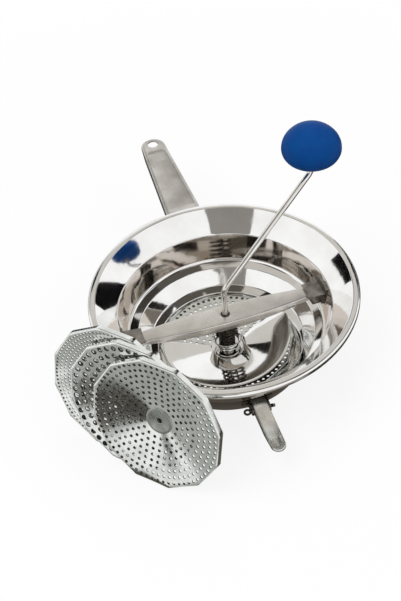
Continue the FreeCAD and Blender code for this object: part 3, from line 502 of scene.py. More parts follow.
def sheet_loop(corners: Sequence[tuple[float, float]], bends: Sequence[float], sheet: float) -> list[Vector]:
    """Closed section of a bent sheet, with the sheet to the left of the path.

    Args:
        corners: Radius and height of the corners of one skin.
        bends: Radius of the bend at each inner corner.
        sheet: Thickness of the sheet.

    Returns:
        Points round the section.
    """
    skin = [Vector(corner) for corner in corners]
    runs = [(b - a).normalized() for a, b in zip(skin, skin[1:])]
    lefts = [Vector((-run.y, run.x)) for run in runs]
    other = [skin[0] + lefts[0] * sheet]
    other_bends = []
    for corner, left, next_left, run, bend in zip(skin[1:], lefts, lefts[1:], runs, bends):
        other.append(corner + (left + next_left) * (sheet / (1 + left.dot(next_left))))
        other_bends.append(bend - sheet if run.dot(next_left) < 0 else bend + sheet)
    other.append(skin[-1] + lefts[-1] * sheet)
    return rounded(skin, bends) + rounded(other, other_bends)[::-1]


def arc(centre: Vector, radius: float, start: float, end: float, steps: int) -> list[Vector]:
    """Points on an arc in the plane, with angles in radians."""
    angles = [start + (end - start) * step / steps for step in range(steps + 1)]
    return [centre + Vector((math.cos(a), math.sin(a))) * radius for a in angles]


def bent_edge(radius: float) -> list[tuple[float, float]]:
    """Inset and drop along the rounded upper edge of a sheet, from its wall to its top."""
    turns = [math.pi / 2 * step / BEND_STEPS for step in range(BEND_STEPS + 1)]
    return [(radius * (1 - math.cos(turn)), radius * (1 - math.sin(turn))) for turn in turns]


def lathe(outline: Sequence[Vector], steps: int = ROUND_STEPS, closed: bool = True) -> BMesh:
    """Turn an outline about the Z axis.

    Args:
        outline: Radius and height of the outline's points; a radius of zero is a pole.
        steps: Segments round the axis.
        closed: Whether the last point joins the first.

    Returns:
        Mesh in millimetres.
    """
    bm = bmesh.new()
    rings = []
    for radius, height in outline:
        count = 1 if radius < POLE else steps
        turns = [2 * math.pi * step / steps for step in range(count)]
        rings.append([bm.verts.new(polar(radius, turn, height)) for turn in turns])
    pairs = list(zip(rings, rings[1:]))
    if closed:
        pairs.append((rings[-1], rings[0]))
    for low, high in pairs:
        if len(low) == 1 and len(high) == 1:
            continue
        for step in range(steps):
            after = (step + 1) % steps
            corners = [low[step % len(low)], low[after % len(low)]]
            corners.extend([high[after % len(high)], high[step % len(high)]])
            bm.faces.new(list(dict.fromkeys(corners)))
    bmesh.ops.recalc_face_normals(bm, faces=bm.faces)
    return bm


def tube(path: Sequence[Vector], radius: float, sides: int) -> BMesh:
    """Round bar along a path, with slightly broken edges at its ends.

    Args:
        path: Points along the middle of the bar.
        radius: Radius of the bar.
        sides: Sides of its section.

    Returns:
        Mesh in millimetres.
    """
    bm = bmesh.new()
    broken = radius * BROKEN_END
    tangents = []
    for number in range(len(path)):
        before = path[max(number - 1, 0)]
        after = path[min(number + 1, len(path) - 1)]
        tangents.append((after - before).normalized())
    stations = [(path[0], tangents[0], radius - broken)]
    stations.append((path[0] + tangents[0] * broken, tangents[0], radius))
    stations.extend([(p, t, radius) for p, t in zip(path[1:-1], tangents[1:-1])])
    stations.append((path[-1] - tangents[-1] * broken, tangents[-1], radius))
    stations.append((path[-1], tangents[-1], radius - broken))
    side = tangents[0].orthogonal().normalized()
    turns = [2 * math.pi * number / sides for number in range(sides)]
    rings = []
    for spot, tangent, reach in stations:
        side = (side - tangent * side.dot(tangent)).normalized()
        other = tangent.cross(side)
        ring = [spot + (side * math.cos(turn) + other * math.sin(turn)) * reach for turn in turns]
        rings.append([bm.verts.new(point) for point in ring])
    for low, high in zip(rings, rings[1:]):
        strip(bm, low + low[:1], high + high[:1])
    bm.faces.new(rings[0][::-1])
    bm.faces.new(rings[-1])
    return bm


def strip(bm: BMesh, low: Sequence[BMVert], high: Sequence[BMVert]) -> None:
    """Join two open rows of as many vertices with quads."""
    for number in range(len(low) - 1):
        bm.faces.new([low[number], low[number + 1], high[number + 1], high[number]])


def edges_of(bm: BMesh, loop: Sequence[BMVert]) -> list[BMEdge]:
    """Edges of a closed loop of vertices, made where they are missing."""
    pairs = zip(loop, list(loop[1:]) + [loop[0]])
    return [bm.edges.get(pair) or bm.edges.new(pair) for pair in pairs]


def fill(bm: BMesh, loops: Sequence[Sequence[BMVert]]) -> None:
    """Fill a flat region between an outer loop and the loops inside it."""
    edges = [edge for loop in loops for edge in edges_of(bm, loop)]
    bmesh.ops.triangle_fill(bm, use_beauty=True, use_dissolve=False, edges=edges)


def level_row(bm: BMesh, points: Sequence[Vector], height: float) -> list[BMVert]:
    """Vertices over points in plan, at one height."""
    return [bm.verts.new((point.x, point.y, height)) for point in points]


def hole_edge(bm: BMesh, middle: Vector, radius: float, height: float) -> list[BMVert]:
    """Vertices round a hole in a level skin."""
    return level_row(bm, arc(middle, radius, 0, 2 * math.pi, HOLE_STEPS)[:-1], height)


def sunk_panel(bm: BMesh, outline: Sequence[Vector], top: float, depth: float) -> list[BMVert]:
    """Recess with upright walls and a flat floor.

    Args:
        bm: Mesh that gets the recess.
        outline: Closed outline in plan.
        top: Height of the skin round the recess.
        depth: Depth of the recess.

    Returns:
        Vertices of the upper edge, for the fill of the skin round it.
    """
    brim = level_row(bm, outline, top)
    floor = level_row(bm, outline, top - depth)
    strip(bm, brim + brim[:1], floor + floor[:1])
    fill(bm, [floor])
    return brim


def face_up(bm: BMesh) -> None:
    """Point the faces of an open skin the same way, with its largest level face upwards.

    Args:
        bm: The skin.
    """
    bmesh.ops.recalc_face_normals(bm, faces=bm.faces)
    level = max(bm.faces, key=lambda f: abs(f.normal.z) * f.calc_area())
    if level.normal.z < 0:
        bmesh.ops.reverse_faces(bm, faces=bm.faces)


def to_mesh(bm: BMesh, name: str) -> Mesh:
    """Turn a working mesh into mesh data and free it.

    Args:
        bm: The working mesh.
        name: Name of the mesh data.

    Returns:
        The mesh data.
    """
    mesh = bpy.data.meshes.new(name)
    bm.to_mesh(mesh)
    bm.free()
    return mesh


def absorb(bm: BMesh, mesh: Mesh) -> None:
    """Add mesh data to a working mesh and remove it."""
    bm.from_mesh(mesh)
    bpy.data.meshes.remove(mesh)


def working_object(mesh: Mesh) -> Object:
    """Put a mesh that modifiers still work on into the scene.

    Args:
        mesh: The mesh.

    Returns:
        Its object.
    """
    holder = bpy.data.objects.new(mesh.name + "_work", mesh)
    bpy.context.scene.collection.objects.link(holder)
    return holder


def evaluated(holder: Object) -> Mesh:
    """Plain mesh of an object with its modifiers, which go away with the object.

    Args:
        holder: Object with modifiers.

    Returns:
        The mesh that they make.
    """
    depsgraph = bpy.context.evaluated_depsgraph_get()
    depsgraph.update()
    mesh = bpy.data.meshes.new_from_object(holder.evaluated_get(depsgraph))
    old = holder.data
    bpy.data.objects.remove(holder)
    bpy.data.meshes.remove(old)
    return mesh


def thickened(mesh: Mesh, sheet: float, outwards: bool = False, edge: float = 0.0) -> Mesh:
    """Give an open skin its sheet thickness.

    Args:
        mesh: Skin in millimetres.
        sheet: Thickness of the sheet.
        outwards: Whether the sheet grows along the normals instead of against them.
        edge: Width of the broken edge, or zero for a sharp one.

    Returns:
        Closed mesh.
    """
    holder = working_object(mesh)
    solid = holder.modifiers.new("sheet", "SOLIDIFY")
    solid.thickness = sheet
    solid.offset = 1.0 if outwards else -1.0
    solid.use_even_offset = True
    if edge > 0:
        bevel = holder.modifiers.new("edge", "BEVEL")
        bevel.width = edge
        bevel.segments = 2
        bevel.limit_method = "ANGLE"
        bevel.angle_limit = BEVEL_ANGLE
    return evaluated(holder)


def finished(
    name: str, mesh: Mesh, material: Material, body: Body, node: str, place: Matrix | None = None
) -> Object:
    """Turn a mesh in millimetres into a piece of the object.

    Args:
        name: Name of the piece.
        mesh: Mesh in millimetres.
        material: Its finish.
        body: Body that it rides on.
        node: CAD node that it stands for.
        place: Placement in millimetres, or nothing where the mesh is in place.

    Returns:
        The piece.
    """
    if place is not None:
        mesh.transform(place)
    mesh.transform(Matrix.Scale(MM, 4))
    mesh.shade_smooth()
    mesh.set_sharp_from_angle(angle=SMOOTH_ANGLE)
    mesh.materials.clear()
    mesh.materials.append(material)
    mesh.name = name
    piece = bpy.data.objects.new(name, mesh)
    bpy.context.scene.collection.objects.link(piece)
    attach(piece, body.value)
    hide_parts(node)
    LOG.info("%s: %d faces on %s", name, len(mesh.polygons), body.value)
    return piece


def dress_nodes(nodes: Sequence[str], material: Material) -> None:
    """Give CAD nodes that stay in view their finish.

    Args:
        nodes: Names of the nodes.
        material: Their finish.
    """
    for node in nodes:
        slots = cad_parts[node].data.materials
        slots.clear()
        slots.append(material)
        LOG.info("%s: CAD node with %s", node, material.name)


@dataclass
class Bowl:
    """Spun bowl with its rolled lip, flange, wall, ledge and grid seat, on a conical skirt.

    Pairs are a radius and a height. The inner bends run from the lip's inner edge down to the seat.
    """

    sheet: float = 1.2
    rim_radius: float = 155.0
    rim_height: float = 103.0
    lip_width: float = 8.0
    lip_drop: float = 8.2
    lip_hem: float = 4.5
    lip_bend: float = 3.0
    flange_radius: float = 124.0
    flange_height: float = 79.0
    wall_foot: tuple[float, float] = (115.0, 45.0)
    ledge: tuple[float, float] = (104.0, 41.0)
    cone_foot: tuple[float, float] = (91.0, 24.0)
    seat_step: float = 20.0
    seat_radius: float = 81.2
    seat_height: float = 12.0
    seat_width: float = 7.2
    inner_bends: tuple[float, ...] = (2.0, 6.0, 6.0, 3.0, 5.0, 2.0, 2.0)
    skirt_top_radius: float = 112.3
    skirt_weld: float = 6.0
    skirt_foot_radius: float = 90.5
    skirt_foot_width: float = 6.5
    skirt_bends: tuple[float, float] = (4.0, 2.0)
    weld_gap: float = 0.1

    def ledge_underside(self, radius: float) -> float:
        """Height of the skirt's weld face under the sloping ledge.

        Args:
            radius: Distance from the bowl axis.

        Returns:
            Height of the face.
        """
        slope = (self.wall_foot[1] - self.ledge[1]) / (self.wall_foot[0] - self.ledge[0])
        skin = self.ledge[1] + slope * (radius - self.ledge[0])
        return skin - self.sheet * math.hypot(1, slope) - self.weld_gap

    def flange_outside(self, height: float) -> float:
        """Radius of the handle's weld face on the outside of the flange.

        Args:
            height: Height over the standing face.

        Returns:
            Radius of the face.
        """
        run = self.rim_radius - self.lip_width - self.flange_radius
        slope = run / (self.rim_height - self.flange_height)
        skin = self.flange_radius + slope * (height - self.flange_height)
        return skin + (self.sheet + self.weld_gap) * math.hypot(1, slope)

    def shell(self) -> Mesh:
        """Bowl in one sheet.

        Returns:
            Mesh in millimetres.
        """
        corners = [(self.rim_radius - self.lip_hem, self.rim_height - self.lip_drop)]
        corners.append((self.rim_radius, self.rim_height - self.lip_drop))
        corners.append((self.rim_radius, self.rim_height))
        corners.append((self.rim_radius - self.lip_width, self.rim_height))
        corners.append((self.flange_radius, self.flange_height))
        corners.extend([self.wall_foot, self.ledge, self.cone_foot])
        corners.append((self.seat_radius, self.seat_step))
        corners.append((self.seat_radius, self.seat_height))
        corners.append((self.seat_radius - self.seat_width, self.seat_height))
        bends = [self.lip_bend, self.lip_bend, *self.inner_bends]
        return to_mesh(lathe(sheet_loop(corners, bends, self.sheet)), "bowl")

    def skirt(self) -> Mesh:
        """Standing ring, turned in at its foot and at its weld.

        Returns:
            Mesh in millimetres.
        """
        corners = [(self.skirt_foot_radius - self.skirt_foot_width, 0.0), (self.skirt_foot_radius, 0.0)]
        for radius in (self.skirt_top_radius, self.skirt_top_radius - self.skirt_weld):
            corners.append((radius, self.ledge_underside(radius)))
        return to_mesh(lathe(sheet_loop(corners, self.skirt_bends, self.sheet)), "skirt")

    def build(self) -> None:
        """Build the bowl and the skirt."""
        finished("bowl_shell", self.shell(), MIRROR_STEEL.make(), Body.BOWL, "bowl")
        finished("base_ring", self.skirt(), SKIRT_STEEL.make(), Body.BOWL, "base_skirt")


def ring_points(tree: NodeTree, sizes: NodeOutputs) -> NodeSocket:
    """Add the nodes for points in rings, each second ring turned by half a step.

    Args:
        tree: Perforation tree.
        sizes: Named inputs of the tree.

    Returns:
        Points at a height of zero.
    """
    begin = add_node(tree, "GeometryNodeRepeatInput")
    finish = add_node(tree, "GeometryNodeRepeatOutput")
    begin.pair_with_output(finish)
    tree.links.new(sizes["Rings"], begin.inputs["Iterations"])
    number = begin.outputs["Iteration"]
    reach = {0: number, 1: sizes["Pitch"], 2: sizes["First Radius"]}
    radius = add_node(tree, "ShaderNodeMath", reach, operation="MULTIPLY_ADD").outputs[0]
    steps = add_node(tree, "ShaderNodeMath", {0: radius, 1: sizes["Pitch"]}, operation="DIVIDE").outputs[0]
    sector = {0: steps, 1: 2 * math.pi / SECTORS}
    in_sector = add_node(tree, "ShaderNodeMath", sector, operation="MULTIPLY").outputs[0]
    whole = add_node(tree, "ShaderNodeMath", {0: in_sector}, operation="ROUND").outputs[0]
    count = add_node(tree, "ShaderNodeMath", {0: whole, 1: SECTORS}, operation="MULTIPLY").outputs[0]
    odd = add_node(tree, "ShaderNodeMath", {0: number, 1: 2.0}, operation="MODULO").outputs[0]
    half_turn = add_node(tree, "ShaderNodeMath", {0: odd, 1: math.pi}, operation="MULTIPLY").outputs[0]
    turn = add_node(tree, "ShaderNodeMath", {0: half_turn, 1: count}, operation="DIVIDE").outputs[0]
    angles = add_node(tree, "ShaderNodeCombineXYZ", {2: turn}).outputs[0]
    rotation = add_node(tree, "FunctionNodeEulerToRotation", {0: angles}).outputs[0]
    circle = add_node(tree, "GeometryNodeMeshCircle", {"Vertices": count, "Radius": radius}).outputs[0]
    turned = add_node(tree, "GeometryNodeTransform", {"Geometry": circle, "Rotation": rotation}).outputs[0]
    rings = add_node(tree, "GeometryNodeJoinGeometry")
    tree.links.new(begin.outputs["Geometry"], rings.inputs[0])
    tree.links.new(turned, rings.inputs[0])
    tree.links.new(rings.outputs[0], finish.inputs["Geometry"])
    return finish.outputs["Geometry"]


def punch_shape(tree: NodeTree, sizes: NodeOutputs) -> NodeSocket:
    """Add the nodes for one tapered punch, marked so that its cuts can be told from the sheet.

    Args:
        tree: Perforation tree.
        sizes: Named inputs of the tree.

    Returns:
        The punch, sunk to its depth in the sheet.
    """
    taper = {
        "Vertices": PUNCH_SIDES,
        "Radius Top": sizes["Mouth Radius"],
        "Radius Bottom": sizes["Hole Radius"],
        "Depth": sizes["Punch Length"],
    }
    punch = add_node(tree, "GeometryNodeMeshCone", taper).outputs["Mesh"]
    mark = {"Geometry": punch, "Name": HOLE_WALL, "Value": 1.0}
    kind = {"data_type": "FLOAT", "domain": "FACE"}
    marked = add_node(tree, "GeometryNodeStoreNamedAttribute", mark, **kind).outputs[0]
    share = {0: sizes["Punch Length"], 1: -PUNCH_SINK}
    drop = add_node(tree, "ShaderNodeMath", share, operation="MULTIPLY").outputs[0]
    sink = add_node(tree, "ShaderNodeCombineXYZ", {2: drop}).outputs[0]
    return add_node(tree, "GeometryNodeTransform", {"Geometry": marked, "Translation": sink}).outputs[0]


def perforation_tree() -> NodeTree:
    """Tree that punches rings of tapered holes through a dished sheet.

    Returns:
        Geometry node tree with one named input for each size.
    """
    tree = bpy.data.node_groups.new("perforated_sheet", "GeometryNodeTree")
    face = tree.interface
    face.new_socket("Sheet", in_out="OUTPUT", socket_type="NodeSocketGeometry")
    face.new_socket("Sheet", in_out="INPUT", socket_type="NodeSocketGeometry")
    lengths = ("Hole Radius", "Mouth Radius", "Pitch", "First Radius", "Centre Height", "Punch Length")
    for name in (*lengths, "Slope"):
        face.new_socket(name, in_out="INPUT", socket_type="NodeSocketFloat")
    face.new_socket("Rings", in_out="INPUT", socket_type="NodeSocketInt")
    face.new_socket("Finish", in_out="INPUT", socket_type="NodeSocketMaterial")
    sizes = add_node(tree, "NodeGroupInput").outputs
    place = add_node(tree, "GeometryNodeInputPosition").outputs[0]
    distance = add_node(tree, "ShaderNodeVectorMath", {0: place}, operation="LENGTH").outputs["Value"]
    rise = {0: distance, 1: sizes["Slope"], 2: sizes["Centre Height"]}
    height = add_node(tree, "ShaderNodeMath", rise, operation="MULTIPLY_ADD").outputs[0]
    lift = add_node(tree, "ShaderNodeCombineXYZ", {2: height}).outputs[0]
    lifted = {"Geometry": ring_points(tree, sizes), "Offset": lift}
    seated = add_node(tree, "GeometryNodeSetPosition", lifted).outputs[0]
    level = {0: place, 1: (1, 1, 0)}
    outward = add_node(tree, "ShaderNodeVectorMath", level, operation="MULTIPLY").outputs[0]
    heading = add_node(tree, "ShaderNodeVectorMath", {0: outward}, operation="NORMALIZE").outputs[0]
    back = add_node(tree, "ShaderNodeMath", {0: sizes["Slope"], 1: -1.0}, operation="MULTIPLY").outputs[0]
    lean = add_node(tree, "ShaderNodeVectorMath", {0: heading, "Scale": back}, operation="SCALE").outputs[0]
    square = add_node(tree, "ShaderNodeVectorMath", {0: lean, 1: UP}, operation="ADD").outputs[0]
    upright = add_node(tree, "FunctionNodeAlignRotationToVector", {"Vector": square}, axis="Z").outputs[0]
    stamps = {"Points": seated, "Instance": punch_shape(tree, sizes), "Rotation": upright}
    punches = add_node(tree, "GeometryNodeInstanceOnPoints", stamps).outputs[0]
    loose = add_node(tree, "GeometryNodeRealizeInstances", {0: punches}).outputs[0]
    cut = add_node(tree, "GeometryNodeMeshBoolean", operation="DIFFERENCE", solver="MANIFOLD")
    tree.links.new(sizes["Sheet"], cut.inputs["Mesh 1"])
    tree.links.new(loose, cut.inputs["Mesh 2"])
    plain = add_node(tree, "GeometryNodeRealizeInstances", {0: cut.outputs["Mesh"]}).outputs[0]
    finish = {"Geometry": plain, "Material": sizes["Finish"]}
    dressed = add_node(tree, "GeometryNodeSetMaterial", finish).outputs[0]
    add_node(tree, "NodeGroupOutput", {0: dressed})
    return tree


@dataclass(kw_only=True)
class GridSet:
    """The seated grid and the three spare ones, with their bosses.

    The spare grids stand on the floor and lean on the rim, each slid along it. The first ring of holes starts
    a share of the pitch outside the boss, and a hole's mouth has a radius that is a share of its diameter.
    """

    bowl: Bowl
    radius: float = 80.0
    sides: int = 12
    sheet: float = 1.0
    skirt: float = 8.0
    edge_bend: float = 1.6
    dish: float = 13.0
    margin: float = 0.2
    first_ring: float = 0.8
    mouth_share: float = 0.8
    punch_length: float = 3.4
    boss_radius: float = 16.5
    boss_rise: float = 3.4
    boss_taper: float = 1.2
    boss_ring: float = 3.4
    boss_well: float = 0.8
    boss_bore: float = 3.06
    boss_sleeve: float = 5.2
    boss_back: float = 0.6
    boss_bends: tuple[float, ...] = (0.25, 0.25, 0.3, 0.8, 1.2, 1.0, 0.4)
    azimuth: float = 223.0
    lean: float = 14.0
    slides: tuple[float, float, float] = (-46.0, -18.0, 18.0)
    clearance: float = 0.6
    steps_per_side: int = 12
    rings: int = 20

    def edge_radius(self, turn: float) -> float:
        """Radius of the many-sided edge, which has a flat side towards -Y.

        Args:
            turn: Angle about the grid's axis in radians.

        Returns:
            Radius of the edge.
        """
        side = 2 * math.pi / self.sides
        off = (turn + math.pi / 2 + side / 2) % side - side / 2
        return self.apothem() / math.cos(off)

    def apothem(self) -> float:
        """Distance from the middle of the grid to the middle of a side."""
        return self.radius * math.cos(math.pi / self.sides)

    def skin_height(self, reach: float) -> float:
        """Height of the dished upper skin over the foot of the edge, at a radius."""
        return self.skirt - self.dish + self.dish * reach / self.radius

    def skin(self) -> Mesh:
        """Unpunched dished sheet with its edge turned down.

        Returns:
            Mesh in millimetres, the foot of its edge at zero.
        """
        bm = bmesh.new()
        steps = self.sides * self.steps_per_side
        turns = [2 * math.pi * step / steps for step in range(steps)]
        edges = [self.edge_radius(turn) for turn in turns]
        loops = []
        for number in range(self.rings + 1):
            loop = []
            for turn, edge in zip(turns, edges):
                reach = self.boss_sleeve + (edge - self.edge_bend - self.boss_sleeve) * number / self.rings
                loop.append(bm.verts.new(polar(reach, turn, self.skin_height(reach))))
            loops.append(loop)
        # The bend from the top down, without its first point, which the dish has already.
        for inset, drop in bent_edge(self.edge_bend)[-2::-1]:
            loop = []
            for turn, edge in zip(turns, edges):
                height = self.skin_height(edge - self.edge_bend) - drop
                loop.append(bm.verts.new(polar(edge - inset, turn, height)))
            loops.append(loop)
        loops.append(level_row(bm, [vertex.co for vertex in loops[-1]], 0))
        for low, high in zip(loops, loops[1:]):
            strip(bm, low + low[:1], high + high[:1])
        face_up(bm)
        return thickened(to_mesh(bm, "grid_skin"), self.sheet)

    def punched(self, tree: NodeTree, material: Material, holes: Holes) -> Mesh:
        """Sheet with its holes.

        Args:
            tree: Perforation tree.
            material: Finish of the sheet.
            holes: Size and pitch of the holes.

        Returns:
            Mesh in millimetres, the foot of its edge at zero.
        """
        hole, pitch = holes.value
        holder = working_object(self.skin())
        mouth = hole * self.mouth_share
        first = self.boss_radius + pitch * self.first_ring
        last = self.apothem() - self.edge_bend - mouth - self.margin
        steps = round((last - first) / pitch)
        sizes = {
            "Hole Radius": hole / 2,
            "Mouth Radius": mouth,
            "Pitch": (last - first) / steps,
            "First Radius": first,
            "Slope": self.dish / self.radius,
            "Centre Height": self.skin_height(0),
            "Punch Length": self.punch_length,
            "Rings": steps + 1,
            "Finish": material,
        }
        maker = holder.modifiers.new("perforations", "NODES")
        maker.node_group = tree
        for item in tree.interface.items_tree:
            if item.in_out == "INPUT" and item.name in sizes:
                maker[item.identifier] = sizes[item.name]
        return evaluated(holder)

    def boss(self) -> Mesh:
        """Cupped centre boss with a broad ring and a well round its bore, sunk by a third of its rise.

        Returns:
            Mesh in millimetres, in the place of its grid.
        """
        top = self.skin_height(0) + self.boss_rise
        well = top - self.boss_rise / 3
        back = self.skin_height(0) - self.sheet - self.boss_back
        corners = [(self.boss_bore, back), (self.boss_sleeve, back)]
        corners.append((self.boss_sleeve, self.skin_height(self.boss_sleeve)))
        corners.append((self.boss_radius, self.skin_height(self.boss_radius)))
        corners.append((self.boss_radius - self.boss_taper, top))
        corners.append((self.boss_radius - self.boss_ring, top))
        corners.append((self.boss_sleeve + self.boss_well, well))
        corners.append((self.boss_bore, well))
        corners.append((self.boss_bore, back))
        outline = rounded([Vector(corner) for corner in corners], self.boss_bends, steps=4)
        return to_mesh(lathe(outline[:-1], steps=72), "boss")

    def rest_reach(self, lean: float, offset: float) -> float:
        """Distance of a leaning grid's foot plane at which its back just touches the rim.

        Args:
            lean: Angle of the grid from upright, in radians.
            offset: Slide of the grid along the rim.

        Returns:
            Distance of the plane from the frame's origin.
        """
        apothem = self.apothem()
        bowl = self.bowl
        height = bowl.rim_height / math.cos(lean) - apothem
        level = (bowl.rim_height - bowl.lip_bend) * math.sin(lean) + bowl.lip_bend
        steps = 100
        reaches = []
        for step in range(-steps, steps + 1):
            across = apothem * step / steps
            from_middle = math.hypot(across, height)
            if from_middle > apothem:
                continue
            on_edge = from_middle > apothem - self.sheet
            back = 0 if on_edge else self.skin_height(from_middle) - self.sheet
            rim = math.sqrt((bowl.rim_radius - bowl.lip_bend) ** 2 - (across + offset) ** 2)
            reaches.append(rim * math.cos(lean) + level - back)
        return max(reaches)

    def spare_places(self) -> list[Matrix]:
        """Placement of each spare grid, from the one against the rim outwards.

        Returns:
            One placement in millimetres for each spare grid.
        """
        azimuth = math.radians(self.azimuth)
        lean = math.radians(self.lean)
        normal = polar(math.cos(lean), azimuth, math.sin(lean))
        slide = Vector((-math.sin(azimuth), math.cos(azimuth), 0))
        uphill = normal.cross(slide)
        turn = Matrix((slide, uphill, normal)).transposed().to_4x4()
        reach = self.rest_reach(lean, self.slides[0]) + self.clearance
        places = []
        for number, offset in enumerate(self.slides):
            if number > 0:
                step = offset - self.slides[number - 1] + self.boss_sleeve
                nested = self.dish * step / self.radius + self.sheet + self.boss_back
                reach += max(self.skirt, nested) + self.clearance
            climb = (self.apothem() * uphill.z - reach * normal.z) / uphill.z
            spot = normal * reach + slide * offset + uphill * climb
            places.append(Matrix.Translation(spot) @ turn)
        return places

    def build(self) -> None:
        """Build the four grids and their bosses."""
        tree = perforation_tree()
        finish = GRID_STEEL.make()
        spares = self.spare_places()
        grids = [("grid", Holes.MEDIUM, Matrix.Translation((0, 0, self.bowl.seat_height)))]
        grids.append(("spare_grid_fine", Holes.FINE, spares[0]))
        grids.append(("spare_grid_coarse", Holes.COARSE, spares[1]))
        grids.append(("spare_grid_medium", Holes.MEDIUM, spares[2]))
        for node, holes, place in grids:
            sheet = self.punched(tree, finish, holes)
            finished(node + "_sheet", sheet, finish, Body.BOWL, node, place)
            cup = node + "_boss"
            finished(cup + "_cup", self.boss(), BOSS_STEEL.make(), Body.BOWL, cup, place)


@dataclass(kw_only=True)
class Crank:
    """Bent rod, blade and knob, with the hub and the fittings that stay CAD nodes.

    The knob is an oval: a dome above its widest line and a belly below it, each with a shoulder arc.
    """

    grids: GridSet
    rod_radius: float = 3.5
    running_gap: float = 0.06
    pilot_length: float = 6.0
    pilot_overlap: float = 0.5
    shoulder: float = 10.8
    lower_height: float = 104.0
    upper_height: float = 192.0
    rod_top: float = 238.1
    reach: float = 145.0
    azimuth: float = 25.5
    lower_bend: float = 14.0
    upper_bend: float = 12.0
    blade_radius: float = 76.0
    blade_sheet: float = 1.5
    blade_edge: float = 0.35
    blade_gap: float = 0.4
    blade_start: float = -200.0
    blade_sweep: float = 215.0
    blade_rise: float = 20.0
    blade_root: float = 17.1
    plate_radius: float = 19.0
    knob_radius: float = 34.2
    knob_dome: float = 29.0
    dome_shoulder: float = 23.6
    knob_belly: float = 20.5
    belly_shoulder: float = 14.8
    knob_foot_radius: float = 10.0
    knob_foot: float = 205.5
    knob_bore: float = 7.9
    knob_bore_depth: float = 3.0
    knob_bore_edge: float = 0.3

    def knob_place(self) -> Vector:
        """Knob axis in plan."""
        return polar(self.reach, math.radians(self.azimuth), 0)

    def rod(self) -> Mesh:
        """Rod with both bends, and the thinner pilot under its shoulder.

        Returns:
            Mesh in millimetres.
        """
        away = self.knob_place()
        points = [UP * self.shoulder, UP * self.lower_height]
        points.extend([away + UP * self.upper_height, away + UP * self.rod_top])
        path = rounded(points, [self.lower_bend, self.upper_bend], steps=24)
        bm = tube(path, self.rod_radius, sides=40)
        ends = [UP * (self.shoulder - self.pilot_length), UP * (self.shoulder + self.pilot_overlap)]
        pilot = tube(ends, self.grids.boss_bore - self.running_gap, sides=32)
        absorb(bm, to_mesh(pilot, "pilot"))
        return to_mesh(bm, "rod")

    def blade(self) -> Mesh:
        """Wing that climbs from the grid, with its flat centre plate.

        Returns:
            Mesh in millimetres.
        """
        bm = bmesh.new()
        steps_round = 120
        steps_across = 16
        rows = []
        for step in range(steps_round + 1):
            share = step / steps_round
            turn = math.radians(self.blade_start + self.blade_sweep * share)
            row = []
            for number in range(steps_across + 1):
                part = number / steps_across
                reach = self.blade_root + (self.blade_radius - self.blade_root) * part
                height = self.grids.bowl.seat_height + self.grids.skin_height(reach) + self.blade_gap
                height += self.blade_rise * share ** 2 * part
                row.append(bm.verts.new(polar(reach, turn, height)))
            rows.append(row)
        for low, high in zip(rows, rows[1:]):
            strip(bm, low, high)
        face_up(bm)
        wing = thickened(to_mesh(bm, "wing"), self.blade_sheet, outwards=True, edge=self.blade_edge)
        top = self.shoulder + self.blade_sheet
        corners = [(self.rod_radius, self.shoulder), (self.plate_radius, self.shoulder)]
        corners.extend([(self.plate_radius, top), (self.rod_radius, top)])
        plate = lathe([Vector(corner) for corner in corners], steps=96)
        absorb(plate, wing)
        return to_mesh(plate, "blade")

    def closing_radius(self, height: float, shoulder: float) -> float:
        """Radius of the arc that closes half of the oval over its shoulder arc."""
        square = self.knob_radius ** 2 + height ** 2 - 2 * self.knob_radius * shoulder
        return square / (2 * (height - shoulder))

    def oval(self, middle: float, height: float, shoulder: float, side: int, end: float) -> list[Vector]:
        """Half of the knob's outline, from the widest line to radius end.

        Args:
            middle: Height of the widest line.
            height: Distance from the widest line to the pole.
            shoulder: Radius of the shoulder arc.
            side: 1 for the dome above, -1 for the belly below.
            end: Radius at which the outline stops.

        Returns:
            Points of the outline.
        """
        steps = 24
        closing = self.closing_radius(height, shoulder)
        low = height - closing
        meeting = math.atan2(-low, self.knob_radius - shoulder)
        stop = math.acos(end / closing)
        line = arc(Vector((self.knob_radius - shoulder, 0)), shoulder, 0, meeting, steps)
        line.extend(arc(Vector((0, low)), closing, meeting, stop, steps)[1:])
        return [Vector((max(p.x, 0), middle + side * p.y)) for p in line]

    def knob(self) -> Mesh:
        """Knob with a flat foot and a short bore round the rod.

        Returns:
            Mesh in millimetres, on the frame's own axis.
        """
        closing = self.closing_radius(self.knob_belly, self.belly_shoulder)
        middle = self.knob_foot + self.knob_belly - closing
        middle += math.sqrt(closing ** 2 - self.knob_foot_radius ** 2)
        belly = self.oval(middle, self.knob_belly, self.belly_shoulder, -1, self.knob_foot_radius)
        dome = self.oval(middle, self.knob_dome, self.dome_shoulder, 1, 0)
        roof = self.knob_foot + self.knob_bore_depth
        bore = [Vector((0, roof)), Vector((self.knob_bore, roof))]
        bore.append(Vector((self.knob_bore, self.knob_foot + self.knob_bore_edge)))
        bore.append(Vector((self.knob_bore + self.knob_bore_edge, self.knob_foot)))
        outline = bore + belly[::-1] + dome[1:]
        return to_mesh(lathe(outline, steps=144, closed=False), "knob")

    def build(self) -> None:
        """Build the rod, the blade and the knob, and dress the fittings."""
        finished("crank_wire", self.rod(), ROD_STEEL.make(), Body.CRANK, "crank_rod")
        finished("blade_wing", self.blade(), MIRROR_STEEL.make(), Body.CRANK, "blade")
        place = Matrix.Translation(self.knob_place())
        finished("knob_ball", self.knob(), KNOB_PLASTIC.make(), Body.KNOB, "knob", place)
        fittings = ("blade_hub", "hub_pin", "knob_sleeve", "knob_clip", "knob_washer")
        dress_nodes(fittings, FITTING_STEEL.make())


